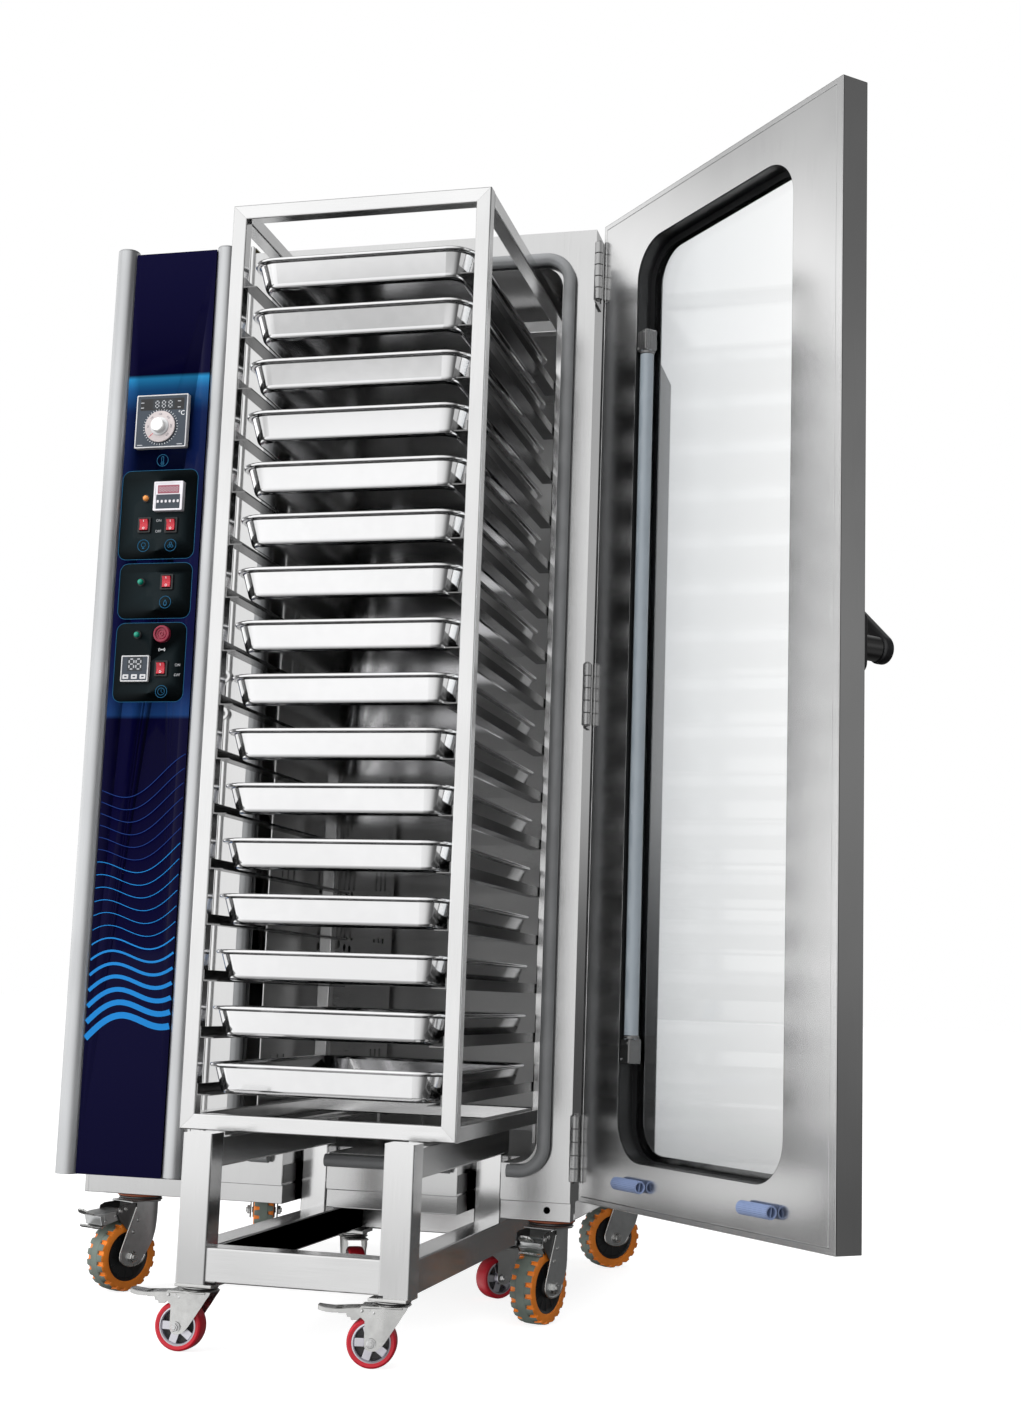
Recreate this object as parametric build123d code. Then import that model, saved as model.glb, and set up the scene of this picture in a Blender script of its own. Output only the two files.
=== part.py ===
from build123d import *
import math
import os

os.makedirs("parts", exist_ok=True)

# Driving sizes in millimetres
# X runs to the right, Y into the oven, Z up, and the front panel is at Y 0 before the final shift
frameShift = (-131.689, -198.051, 0.0)

bodyLeft = -341.0
bodyRight = 331.0
bodyDepth = 880.0
bodyBottom = 208.0
bodyTop = 1949.0
columnLeft = -624.5
columnBottom = 206.0
columnTop = 1962.0
sheet = 2.0
seam = 0.1

openingHalf = 270.0
openingBottom = 268.0
openingTop = 1881.0
openingCorner = 40.0
cavityLeft = -374.0
cavityRight = 276.0
cavityTop = 1890.0
cavityBack = 790.0

baseLeft = -570.0
baseBottom = 174.0
baseTop = 205.8
baseBeam = 40.0

# The two notches in the sill take the trolley's rear posts
notches = [(-190.0, -106.0), (131.0, 209.0)]
notchDepth = 136.0
notchSheet = 1.5
panLeft = -436.0

gasketRadius = 11.0
gasketHalf = 284.5
gasketLow = 256.0
gasketHigh = 1893.0
gasketCorner = 44.0
gasketGaps = [(-212.0, -106.0), (121.0, 222.0)]

pivotX = 339.5
pivotY = -17.0
doorAngle = 133.3
doorRight = 334.8
doorLeft = -340.0
doorInner = -25.2
doorThick = 47.0
doorBottom = 212.0
doorTop = 1946.0
windowHalf = 220.0
windowLow = 291.0
windowHigh = 1869.0
windowCorner = 68.0
hingeHeights = [1861.0, 1079.0, 299.0]
knuckle = 21.6
knuckleStep = 22.0
knuckleRadius = 8.0
hingePin = 4.0

handleX = -315.0
handleZ = 1075.0
handleStand = 41.5
handleThick = 19.0
handleBig = 22.0
handleSmall = 13.0
handleReach = 128.0

lampRadius = 12.0
lampEnds = [(447.0, 488.0), (1671.0, 1710.0)]

rackHalf = 228.5
rackFront = -369.0
rackDepth = 635.0
rackBottom = 324.0
rackTop = 1874.0
rackTube = 25.0
trackTop = 320.0
runnerX = 160.0

trayCount = 16
trayFirst = 429.5
trayPitch = 89.9
trayWide = 400.0
trayLong = 600.0
trayHigh = 50.0
trayStart = -367.0
guideReach = 26.0

trolleyCentre = 4.0
trolleyHalf = 186.0
trolleyTube = 48.0
trolleyFront = -457.0
postFront = 80.0
trolleyRear = 345.0
legBottom = 103.0
legTop = 326.0
upperRailLow = 274.0
lowerRailLow = 105.5
lowerRailHigh = 157.0

leftProfileX = -603.5
rightProfileX = -396.0
fasciaLeft = -582.2
fasciaRight = -415.3
fasciaFront = -12.0

fanHeights = [690.0, 1470.0]
fanY = 390.0

# Casters: swivel centre, direction of the trail, and how far a brake pedal reaches, 0 for none
orangeCasters = {
    "front_left": (-489.0, 70.0, 243.5, 132.0),
    "front_right": (284.0, 70.0, 252.0, 89.0),
    "rear_left": (-527.0, 796.0, 110.7, 0.0),
    "rear_right": (280.0, 796.0, 222.0, 0.0),
}
redCasters = {
    "front_left": (-150.0, -433.0, 181.0, 110.0),
    "front_right": (158.0, -433.0, 192.0, 110.0),
    "rear_left": (-150.0, 291.0, 300.0, 0.0),
    "rear_right": (158.0, 291.0, 229.0, 0.0),
}

# One entry per caster size
orangeSize = {
    "wheelRadius": 62.5,
    "wheelWide": 44.0,
    "axle": 6.0,
    "trail": 36.0,
    "top": 167.0,
    "raceRadius": 40.0,
    "cheek": 4.0,
    "pivotAlong": 50.0,
    "pivotUp": 141.0,
    "pedalThick": 7.0,
}
redSize = {
    "wheelRadius": 37.5,
    "wheelWide": 30.0,
    "axle": 4.0,
    "trail": 28.0,
    "top": 98.0,
    "raceRadius": 29.0,
    "cheek": 3.0,
    "pivotAlong": 32.0,
    "pivotUp": 84.5,
    "pedalThick": 5.0,
}


# Small helpers
def block(x0, x1, y0, y1, z0, z1):
    middle = Pos((x0 + x1) / 2, (y0 + y1) / 2, (z0 + z1) / 2)
    return middle * Box(x1 - x0, y1 - y0, z1 - z0)


def rodX(x0, x1, y, z, r):
    return Pos((x0 + x1) / 2, y, z) * Rot(0, 90, 0) * Cylinder(r, x1 - x0)


def rodY(x, y0, y1, z, r):
    return Pos(x, (y0 + y1) / 2, z) * Rot(90, 0, 0) * Cylinder(r, y1 - y0)


def rodZ(x, y, z0, z1, r):
    return Pos(x, y, (z0 + z1) / 2) * Cylinder(r, z1 - z0)


def roundedPlate(x0, x1, z0, z1, corner, y0, y1):
    outline = RectangleRounded(x1 - x0, z1 - z0, corner)
    plate = extrude(outline, y1 - y0)
    return Pos((x0 + x1) / 2, y1, (z0 + z1) / 2) * Rot(90, 0, 0) * plate


def hexPlate(x, y, z, across, thick):
    nut = extrude(RegularPolygon(across / 2, 6, major_radius=False), thick)
    return Pos(x, y, z) * Rot(90, 0, 0) * nut


def solidsOf(*shapes):
    found = []
    for shape in shapes:
        found.extend(shape.solids())
    return found


def write(name, *shapes):
    solids = solidsOf(*shapes)
    moved = [Pos(*frameShift) * solid for solid in solids]
    whole = Compound(label=name, children=moved) if len(moved) > 1 else moved[0]
    whole.label = name
    export_step(whole, f"parts/{name}.step")
    print(name, len(solids))


# The door is drawn shut and turned about its pivot to the open rest position
def openDoor(shape):
    return Pos(pivotX, pivotY, 0) * Rot(0, 0, doorAngle) * Pos(-pivotX, -pivotY, 0) * shape


# Cabinet: folded sheets, each its own solid with a hairline seam
def cabinetShell():
    front = [
        block(bodyLeft, -openingHalf - seam, 0, sheet, bodyBottom, bodyTop),
        block(openingHalf + seam, bodyRight, 0, sheet, bodyBottom, bodyTop),
        block(-openingHalf, openingHalf, 0, sheet, openingTop + seam, bodyTop),
    ]
    sill = [-openingHalf, notches[0][0], notches[0][1], notches[1][0], notches[1][1], openingHalf]
    for left, right in zip(sill[::2], sill[1::2]):
        front.append(block(left, right, 0, sheet, bodyBottom, openingBottom - seam))
    # The rounded corners of the opening, without their feather edges
    arc = openingHalf - openingCorner
    trim = arc + 6
    edges = [(openingBottom + openingCorner, openingBottom), (openingTop - openingCorner, openingTop)]
    for side in (-1, 1):
        for middle, edge in edges:
            near = middle + math.copysign(6, edge - middle)
            x0, x1 = sorted((side * trim, side * openingHalf))
            z0, z1 = sorted((near, edge))
            hole = rodY(side * arc, -1, sheet + 1, middle, openingCorner)
            front.append(block(x0, x1, 0, sheet, z0, z1) - hole)
    inner = sheet + seam
    # Floor pan with the walls of the notches standing round its cut-outs
    wallBack = notchDepth + seam + notchSheet
    wallTop = openingBottom - sheet - seam
    pan = [block(panLeft, bodyRight - inner, wallBack + seam, bodyDepth - inner, columnBottom, bodyBottom)]
    strips = [panLeft + 60]
    for left, right in notches:
        x0 = left - notchSheet
        x1 = right + notchSheet
        pan.append(block(x0, left, inner, notchDepth, columnBottom, wallTop))
        pan.append(block(right, x1, inner, notchDepth, columnBottom, wallTop))
        pan.append(block(x0, x1, notchDepth + seam, wallBack, columnBottom, wallTop))
        strips += [x0 - seam, x1 + seam]
    strips.append(bodyRight - inner)
    for left, right in zip(strips[::2], strips[1::2]):
        pan.append(block(left, right, inner, wallBack, columnBottom, bodyBottom))
    rightSide = block(bodyRight - sheet, bodyRight, inner, bodyDepth, columnBottom, bodyTop)
    back = block(columnLeft + 21, bodyRight - inner, bodyDepth - sheet, bodyDepth, columnBottom, bodyTop)
    back -= rodY(-520, bodyDepth - 9, bodyDepth + 9, 420, 11.0)
    back -= rodY(-520, bodyDepth - 9, bodyDepth + 9, 330, 14.0)
    top = block(bodyLeft + seam, bodyRight - inner, inner, bodyDepth - inner, bodyTop - sheet, bodyTop)
    top -= rodZ(60, 600, bodyTop - 9, bodyTop + 9, 42.5)
    leftSide = block(columnLeft + 21, columnLeft + 23, 19, bodyDepth - inner, columnBottom, bodyTop)
    columnFloor = block(columnLeft + 23.1, panLeft - seam, 3, bodyDepth - inner, columnBottom, columnBottom + sheet)
    columnRoof = block(columnLeft + 23.1, bodyLeft, 3, 120, columnTop - sheet, columnTop)
    for sheetX, sheetR in ((leftProfileX, 21.2), (rightProfileX, 19.2)):
        columnFloor -= rodZ(sheetX, -3, columnBottom - 1, columnBottom + 9, sheetR)
        columnRoof -= rodZ(sheetX, -3, columnTop - 9, columnTop + 1, sheetR)
    columnBackRoof = block(columnLeft + 23.1, bodyLeft, 120.1, bodyDepth - inner, bodyTop - sheet, bodyTop)
    columnStep = block(columnLeft + 23.1, bodyLeft, 118, 120, bodyTop + seam, columnTop - inner)
    jamb = block(-376.9, bodyLeft - seam, 0, sheet, columnBottom + 3, columnTop - 2.1)
    gland = rodY(-520, bodyDepth - 8, bodyDepth + 14, 420, 10.9)
    gland += rodY(-520, bodyDepth + seam, bodyDepth + 8, 420, 15)
    gland -= rodY(-520, bodyDepth - 9, bodyDepth + 15, 420, 7.0)
    water = rodY(-520, bodyDepth - 20, bodyDepth + 22, 330, 13.2)
    water += rodY(-520, bodyDepth + seam, bodyDepth + 6, 330, 19)
    water -= rodY(-520, bodyDepth - 21, bodyDepth + 23, 330, 8.0)
    return [
        *front, *pan, rightSide, back, top, leftSide, columnFloor, columnRoof,
        columnBackRoof, columnStep, jamb, gland, water,
    ]


# Base: beams of box section, broken at the front by the notches and led back along them
def baseFrame():
    z0 = baseBottom
    z1 = baseTop
    y0 = 6.0
    y1 = bodyDepth - 4
    t = baseBeam
    ends = [baseLeft, notches[0][0], notches[0][1], notches[1][0], notches[1][1], bodyRight]
    beams = [block(left, right, y0, y0 + t, z0, z1) for left, right in zip(ends[::2], ends[1::2])]
    beams[-1] -= rodY(290.2, 0, 18, 192, 6)
    for left, right in notches:
        beams.append(block(left - 30, left, y0 + t + seam, 150 - seam, z0, z1))
        beams.append(block(right, right + 30, y0 + t + seam, 150 - seam, z0, z1))
    for x in (baseLeft, bodyRight - t):
        beams.append(block(x, x + t, y0 + t + seam, y1, z0, z1))
    for y in (150, y1 - t):
        beams.append(block(baseLeft + t + seam, bodyRight - t - seam, y, y + t, z0, z1))
    rings = []
    for x, y, turn, reach in orangeCasters.values():
        rings.append(rodZ(x, y, orangeSize["top"] + 0.2, z0 - 0.1, 42))
    return [*beams, *rings]


# Cavity: sheets welded to a box that is open at the front, slotted where the rear posts pass
def cavityLiner():
    t = sheet
    y0 = sheet + seam
    x0 = cavityLeft
    x1 = cavityRight
    z0 = openingBottom
    z1 = cavityTop
    left = block(x0 - t, x0, y0, cavityBack + t, z0 - t, z1 + t)
    for z in fanHeights:
        left -= rodX(x0 - 9, x0 + 9, fanY, z, 16)
        for dy in (-28, 28):
            left -= rodX(x0 - 9, x0 + 9, fanY + dy, z + 203.1, 6.2)
    right = block(x1, x1 + t, y0, cavityBack + t, z0 - t, z1 + t)
    back = block(x0 + seam, x1 - seam, cavityBack, cavityBack + t, z0 - t, z1 + t)
    roof = block(x0 + seam, x1 - seam, y0, cavityBack - seam, z1, z1 + t)
    roof -= rodZ(60, 600, z1 - 9, z1 + 9, 42.1)
    pipe = rodZ(60, 600, z1 - 1, bodyTop - 0.5, 42) - rodZ(60, 600, z1 - 2, bodyTop + 1, 40)
    ends = [x0 + seam, notches[0][0], notches[0][1], notches[1][0], notches[1][1], x1 - seam]
    floor = [block(a, b, y0, notchDepth, z0 - t, z0) for a, b in zip(ends[::2], ends[1::2])]
    floor.append(block(x0 + seam, x1 - seam, notchDepth + seam, cavityBack - seam, z0 - t, z0))
    tracks = []
    for x in (-runnerX, runnerX):
        tracks.append(block(x - 24, x + 24, 142, 770, trackTop - 4, trackTop))
        for y in (160, 450, 750):
            tracks.append(block(x - 3, x + 3, y, y + 6, z0 + seam, trackTop - 4 - seam))
    return [left, right, back, roof, pipe, *floor, *tracks]


# Mineral wool slabs between the cavity and the outer sheets
def insulation():
    slabs = [
        block(cavityRight + 3, bodyRight - 4, 5, 780, 275, 1885),
        block(cavityLeft, cavityRight, 5, 780, cavityTop + 3, bodyTop - 4),
        block(cavityLeft, cavityRight, cavityBack + 3, bodyDepth - 40, 275, 1885),
        block(cavityLeft, cavityRight, notchDepth + 20, 780, bodyBottom + 5, openingBottom - 3),
        block(cavityLeft - 38, cavityLeft - 3, 20, 780, 275, 1885),
    ]
    slabs[1] -= rodZ(60, 600, cavityTop, bodyTop + 1, 43)
    for z in fanHeights:
        slabs[4] -= rodX(cavityLeft - 60, cavityLeft + 9, fanY, z, 16)
        for dy in (-28, 28):
            slabs[4] -= rodX(cavityLeft - 60, cavityLeft + 9, fanY + dy, z + 203.1, 7)
    return slabs


# Door seal: a round section round the opening, cut where the trolley enters
def doorGasket():
    outline = RectangleRounded(2 * gasketHalf, gasketHigh - gasketLow, gasketCorner)
    placed = Pos(0, -gasketRadius - 0.2, (gasketLow + gasketHigh) / 2) * Rot(90, 0, 0) * outline
    path = placed.face().outer_wire()
    section = Plane(path @ 0, z_dir=path % 0) * Circle(gasketRadius)
    ring = sweep(section, path=path)
    for left, right in gasketGaps:
        ring -= block(left, right, -30, 10, gasketLow - 20, gasketLow + 20)
    # Butt joints where each straight run meets a corner
    for z in (gasketLow + gasketCorner, gasketHigh - gasketCorner):
        ring -= block(-gasketHalf - 20, gasketHalf + 20, -30, 10, z - 0.05, z + 0.05)
    for x in (gasketCorner - gasketHalf, gasketHalf - gasketCorner):
        ring -= block(x - 0.05, x + 0.05, -30, 10, gasketLow - 20, gasketHigh + 20)
    return [ring]


# Round extrusions at both sides of the fascia
def columnProfiles():
    left = rodZ(leftProfileX, -3, columnBottom - 1, columnTop + 5, 21)
    right = rodZ(rightProfileX, -3, columnBottom + 2, columnTop - 1, 19)
    return [left, right]


# Rocker positions on the fascia, and the lamps, as centre x and z
rockers = {
    "light_rocker": (-529.0, 1412.0),
    "fan_rocker": (-474.0, 1410.5),
    "steam_rocker": (-475.3, 1300.3),
    "timer_rocker": (-475.8, 1134.3),
}
rockerWide = 22.0
rockerHigh = 26.0
lamps = [(-529.0, 1464.3), (-528.8, 1301.2), (-529.3, 1199.7)]
dialX = -504.6
dialZ = 1602.0


# Fascia with the bodies of its instruments standing through it
def controlPanel():
    f = fasciaFront
    plate = block(fasciaLeft, fasciaRight, f, f + 3, columnBottom, columnTop - 5)
    regulator = block(-556.5, -450.5, f - 12, f - 0.1, 1561, 1666)
    regulator -= rodY(dialX, f - 13, f + 1, dialZ, 4.05)
    timer = block(-509.5, -450, f - 12, f - 0.1, 1437, 1494)
    counter = block(-555.5, -499.5, f - 8, f - 0.1, 1109, 1159)
    shapes = [regulator, timer, counter]
    for x, z in rockers.values():
        wide = rockerWide / 2 + 2
        high = rockerHigh / 2 + 2
        frame = block(x - wide, x + wide, f - 4, f - 0.1, z - high, z + high)
        frame -= block(x - 9, x + 9, f - 5, f + 1, z - 12.2, z + 12.2)
        plate -= block(x - 10, x + 10, f - 1, f + 4, z - 12.5, z + 12.5)
        frame += rodX(x - 9.5, x + 9.5, f - 2.2, z, 1.5)
        shapes.append(frame)
    for x, z in lamps:
        lamp = rodY(x, f - 5, f - 0.1, z, 8)
        lamp += Pos(x, f - 5, z) * Rot(90, 0, 0) * Cone(6.5, 3, 5, align=(Align.CENTER, Align.CENTER, Align.MIN))
        shapes.append(lamp)
    buzzer = rodY(-477.7, f - 9, f - 0.1, 1199.9, 16.5)
    buzzer -= rodY(-477.7, f - 10, f - 6, 1199.9, 11)
    shapes.append(buzzer)
    return [plate, *shapes]


def dialKnob():
    f = fasciaFront - 12
    disc = rodY(dialX, f - 3.4, f - 0.4, dialZ, 31)
    disc += rodY(dialX, f - 17, f - 3, dialZ, 12.5)
    disc += rodY(dialX, f - 1, f + 11, dialZ, 4.0)
    return [disc]


def rocker(x, z):
    f = fasciaFront
    with BuildSketch(Plane.YZ) as outline:
        with BuildLine():
            Polyline(
                (f - 0.4, z - 8), (f - 5.2, z - 10.6), (f - 6.6, z - 10.2), (f - 5.4, z),
                (f - 8.8, z + 10.4), (f - 7.2, z + 10.8), (f - 0.4, z + 8), close=True,
            )
        make_face()
    body = extrude(outline.sketch, 8.4, both=True)
    body = Pos(x, 0, 0) * body
    body -= rodX(x - 10, x + 10, f - 2.2, z, 1.55)
    return [body]


# Baffle between the fans and the rack, with round intakes and long outlets
def fanBaffle():
    plate = block(-252, -250, 20, 770, 300, 1870)
    holes = []
    for z in fanHeights:
        for ring, count in ((26, 6), (54, 12), (82, 18), (110, 24)):
            for i in range(count):
                a = 2 * math.pi * i / count
                holes.append(rodX(-254, -248, fanY + ring * math.cos(a), z + ring * math.sin(a), 8))
    for z in (360, 1020, 1110, 1740):
        for y in (70, 100, 130, 650, 680, 710):
            holes.append(block(-254, -248, y, y + 10, z, z + 70))
    for z in fanHeights:
        for y in (80, 110, 140, 640, 670, 700):
            holes.append(block(-254, -248, y, y + 10, z - 35, z + 35))
    plate -= holes
    tabs = []
    for y in (30, 740):
        for z in (310, 1085, 1850):
            tabs.append(rodX(cavityLeft + 0.1, -252.1, y, z, 6))
    return [plate, *tabs]


def fanWheel(z):
    hub = rodX(-368, -278, fanY, z, 22)
    hub += rodX(-352, -349, fanY, z, 160)
    hub += rodX(-500, -360, fanY, z, 9)
    ring = rodX(-273, -270, fanY, z, 160) - rodX(-274, -269, fanY, z, 112)
    wheel = hub + ring
    blade = block(-350, -271, fanY - 1.5, fanY + 1.5, z + 100, z + 157)
    blade = Pos(0, fanY, z) * Rot(25, 0, 0) * Pos(0, -fanY, -z) * blade
    for i in range(12):
        wheel += Pos(0, fanY, z) * Rot(30 * i, 0, 0) * Pos(0, -fanY, -z) * blade
    return [wheel]


def fanMotors():
    motors = []
    for z in fanHeights:
        motor = rodX(-570, -425, fanY, z, 65)
        motor += rodX(-425, -417, fanY, z, 82)
        motor -= rodX(-505, -410, fanY, z, 9.07)
        motors.append(motor)
    return motors


# Heating rings round each fan, with their ends led out through the wall
def heaterElements():
    shapes = []
    for z in fanHeights:
        for x in (-328, -300):
            shapes.append(Pos(x, fanY, z) * Rot(0, 90, 0) * Torus(205, 5))
    legs = []
    for z in fanHeights:
        ringPair = shapes[0:2] if z == fanHeights[0] else shapes[2:4]
        joined = ringPair[0] + ringPair[1]
        for dy in (-28, 28):
            joined += rodX(-425, -298, fanY + dy, z + 203.1, 4.4)
        legs.append(joined)
    return legs


# Fixed door hardware: latch strip, catch roller, and the cabinet leaves of the hinges
def doorFrameFittings():
    strip = block(-371, -341.2, -7, -0.1, columnBottom + 6, columnTop - 1)
    strip -= block(-355, -347, -9, -2, 1082, 1104)
    shapes = [strip]
    for z in (1119.6, 1049.9):
        bolt = rodY(-351, -9.5, -7.1, z, 12.5)
        bolt += hexPlate(-351, -9.5, z, 13, 5)
        shapes.append(bolt)
    roller = rodX(-366, -343, -15.5, 1074, 7)
    roller += block(-366, -362, -15.5, -7.1, 1068, 1080)
    shapes.append(roller)
    for middle in hingeHeights:
        leaf = block(bodyRight + 0.1, bodyRight + 3.1, pivotY - 2, 44, middle - 54.8, middle + 54.8)
        for k in (-1, 1):
            low = middle + k * knuckleStep - knuckleStep / 2 - 0.2
            leaf -= block(bodyRight - 1, bodyRight + 5, pivotY - 12, pivotY + 9.5, low, low + knuckleStep + 0.4)
        for k in (-2, 0, 2):
            centre = middle + k * knuckleStep
            leaf += rodZ(pivotX, pivotY, centre - knuckle / 2, centre + knuckle / 2, knuckleRadius)
        leaf += rodZ(pivotX, pivotY, middle - 54, middle + 54, hingePin)
        shapes.append(leaf)
    return shapes


def windowPlate(grow, y0, y1):
    half = windowHalf + grow
    return roundedPlate(-half, half, windowLow - grow, windowHigh + grow, windowCorner + grow, y0, y1)


# Door: outer pan with its window tube, and the inner skin set into its rim
def doorShell():
    back = doorInner - doorThick
    pan = block(doorLeft, doorRight, back, doorInner, doorBottom, doorTop)
    pan -= block(doorLeft + 2, doorRight - 2, back + 2, doorInner - 3, doorBottom + 2, doorTop - 2)
    pan -= block(doorLeft + 15, doorRight - 8, doorInner - 4, doorInner + 1, doorBottom + 9, doorTop - 9)
    pan += windowPlate(2, back, doorInner - 3.2)
    pan -= windowPlate(0, back + 2, doorInner + 1)
    pan -= windowPlate(-12, back - 1, back + 3)
    skin = block(doorLeft + 15.4, doorRight - 8.4, doorInner - 3, doorInner, doorBottom + 9.4, doorTop - 9.4)
    skin -= windowPlate(0, doorInner - 4, doorInner + 1)
    return [openDoor(pan), openDoor(skin)]


# Two panes held in the window tube
def doorGlass():
    back = doorInner - doorThick
    panes = []
    for y0 in (back + 2.2, back + 14):
        panes.append(openDoor(windowPlate(-0.3, y0, y0 + 4)))
    return panes


# What is bolted to the door: hinge leaves, handle plate, lamp, and the two seal tubes
def doorFittings():
    shapes = []
    back = doorInner - doorThick
    for middle in hingeHeights:
        leaf = block(doorRight + 0.1, doorRight + 3.1, back + 4, pivotY, middle - 54.8, middle + 54.8)
        for k in (-2, 0, 2):
            low = middle + k * knuckleStep - knuckleStep / 2 - 0.2
            leaf -= block(doorRight - 1, doorRight + 5, pivotY - 9.5, pivotY + 12, low, low + knuckleStep + 0.4)
        for k in (-1, 1):
            centre = middle + k * knuckleStep
            leaf += rodZ(pivotX, pivotY, centre - knuckle / 2, centre + knuckle / 2, knuckleRadius)
            leaf -= rodZ(pivotX, pivotY, centre - 12, centre + 12, hingePin + 0.06)
        shapes.append(leaf)
    plate = roundedPlate(handleX - 24, handleX + 24, handleZ - 42, handleZ + 50, 12, back - 6, back - 0.1)
    plate += rodY(handleX, back - handleStand, back - 5, handleZ, 19)
    plate -= rodY(handleX, back - 60, back + 2, handleZ, 6.05)
    shapes.append(plate)
    lampX = windowHalf - 16
    lampY = doorInner - 13
    tube = rodZ(lampX, lampY, lampEnds[0][0] + 20, lampEnds[1][1] - 20, lampRadius)
    shapes.append(tube)
    for low, high in lampEnds:
        holder = block(lampX - 12.5, windowHalf - 0.1, lampY - 12.5, doorInner - 0.5, low, high)
        holder -= rodZ(lampX, lampY, lampEnds[0][0] + 20, lampEnds[1][1] - 20, lampRadius)
        shapes.append(holder)
    for x0, x1 in ((-210, -117), (123, 220)):
        tube = rodX(x0, x1, doorInner + 10.4, gasketLow, 10.2)
        tube -= rodX(x0 - 1, x1 + 1, doorInner + 10.4, gasketLow, 7.6)
        shapes.append(tube)
    return [openDoor(shape) for shape in shapes]


# Handle: hub on the boss and a tapered arm
def handleLever():
    back = doorInner - doorThick
    y1 = back - handleStand - 0.3
    y0 = y1 - handleThick
    with BuildSketch() as outline:
        with Locations((0, 0)):
            Circle(handleBig)
        with Locations((handleReach, 0)):
            Circle(handleSmall)
        with BuildLine():
            Polyline(
                (0, -handleBig), (handleReach, -handleSmall), (handleReach, handleSmall), (0, handleBig),
                close=True,
            )
        make_face()
    arm = extrude(outline.sketch, y1 - y0)
    arm = Pos(handleX, y1, handleZ) * Rot(0, -45, 0) * Rot(90, 0, 0) * arm
    arm += rodY(handleX, y0 + 2, back - 8, handleZ, 6.0)
    return [openDoor(arm)]


# Rack: welded lengths of square tube with angle guides
def rackFrame():
    shapes = []
    y0 = rackFront
    y1 = rackFront + rackDepth
    t = rackTube
    for x in (-rackHalf, rackHalf - t):
        for y in (y0, y1 - t):
            shapes.append(block(x, x + t, y, y + t, rackBottom, rackTop))
        for z in (rackBottom, rackTop - t):
            shapes.append(block(x, x + t, y0 + t + seam, y1 - t - seam, z, z + t))
    for y in (y0, y1 - t):
        for z in (rackBottom, rackTop - t):
            shapes.append(block(t - rackHalf + seam, rackHalf - t - seam, y, y + t, z, z + t))
    for x in (-runnerX, runnerX):
        runner = block(x - 8, x + 8, y0 + 6, y1 - 6, trackTop + 0.1, rackBottom - 0.1)
        shapes.append(runner)
    inner = rackHalf - t
    for k in range(trayCount):
        z = trayFirst + k * trayPitch - trayHigh
        for side in (-1, 1):
            x0 = side * (inner - 0.1)
            x1 = side * (inner - 2.1)
            x2 = side * (inner - guideReach)
            guide = block(min(x0, x1), max(x0, x1), y0 + 2, y1 - 2, z - 2, z + 16)
            guide += block(min(x0, x2), max(x0, x2), y0 + 2, y1 - 2, z - 2, z)
            shapes.append(guide)
    return shapes


# Tray: drawn pan with tapered sides and a rolled rim
def tray(k):
    rim = trayFirst + k * trayPitch
    low = rim - trayHigh + 0.3
    middle = trayStart + trayLong / 2
    base = Pos(0, middle, low) * RectangleRounded(trayWide - 36, trayLong - 36, 30)
    lip = Pos(0, middle, rim) * RectangleRounded(trayWide - 16, trayLong - 16, 40)
    pan = loft([base, lip])
    baseInner = Pos(0, middle, low + 1.5) * RectangleRounded(trayWide - 39, trayLong - 39, 28.5)
    lipInner = Pos(0, middle, rim) * RectangleRounded(trayWide - 19, trayLong - 19, 38.5)
    pan -= loft([baseInner, lipInner])
    ring = RectangleRounded(trayWide - 2, trayLong - 2, 47) - RectangleRounded(trayWide - 17, trayLong - 17, 39.5)
    pan += Pos(0, middle, rim - 6) * extrude(ring, 6)
    pan -= loft([baseInner, Pos(0, middle, rim) * RectangleRounded(trayWide - 19, trayLong - 19, 38.5)])
    return [pan]


# Trolley: legs in front, posts that enter the sill notches, and two levels of rails
def trolleyFrame():
    c = trolleyCentre
    t = trolleyTube
    tubes = []
    for side in (-1, 1):
        x0, x1 = sorted((c + side * trolleyHalf, c + side * (trolleyHalf - t)))
        behindLeg = trolleyFront + t + seam
        tubes.append(block(x0, x1, trolleyFront, trolleyFront + t, legBottom, legTop))
        tubes.append(block(x0, x1, behindLeg, postFront + t, upperRailLow, trackTop))
        tubes.append(block(x0, x1, behindLeg, trolleyRear, lowerRailLow, lowerRailHigh))
        tubes.append(block(x0, x1, postFront, postFront + t, lowerRailHigh + seam, upperRailLow - seam))
    left = c - trolleyHalf + t + seam
    right = c + trolleyHalf - t - seam
    tubes.append(block(left, right, trolleyFront + 4, trolleyFront + t, lowerRailLow, lowerRailHigh))
    tubes.append(block(left, right, trolleyRear - t, trolleyRear, lowerRailLow, lowerRailHigh))
    plates = []
    for name, (x, y, turn, reach) in redCasters.items():
        top = legBottom - 0.1 if reach else lowerRailLow - 0.1
        plates.append(block(x - 30, x + 30, y - 30, y + 30, redSize["top"] + 0.3, top))
    return [*tubes, *plates]


# Casters are drawn with the trail along X and turned into place
def placeCaster(caster, shape):
    x, y, turn, reach = caster
    return Pos(x, y, 0) * Rot(0, 0, turn) * shape


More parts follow.
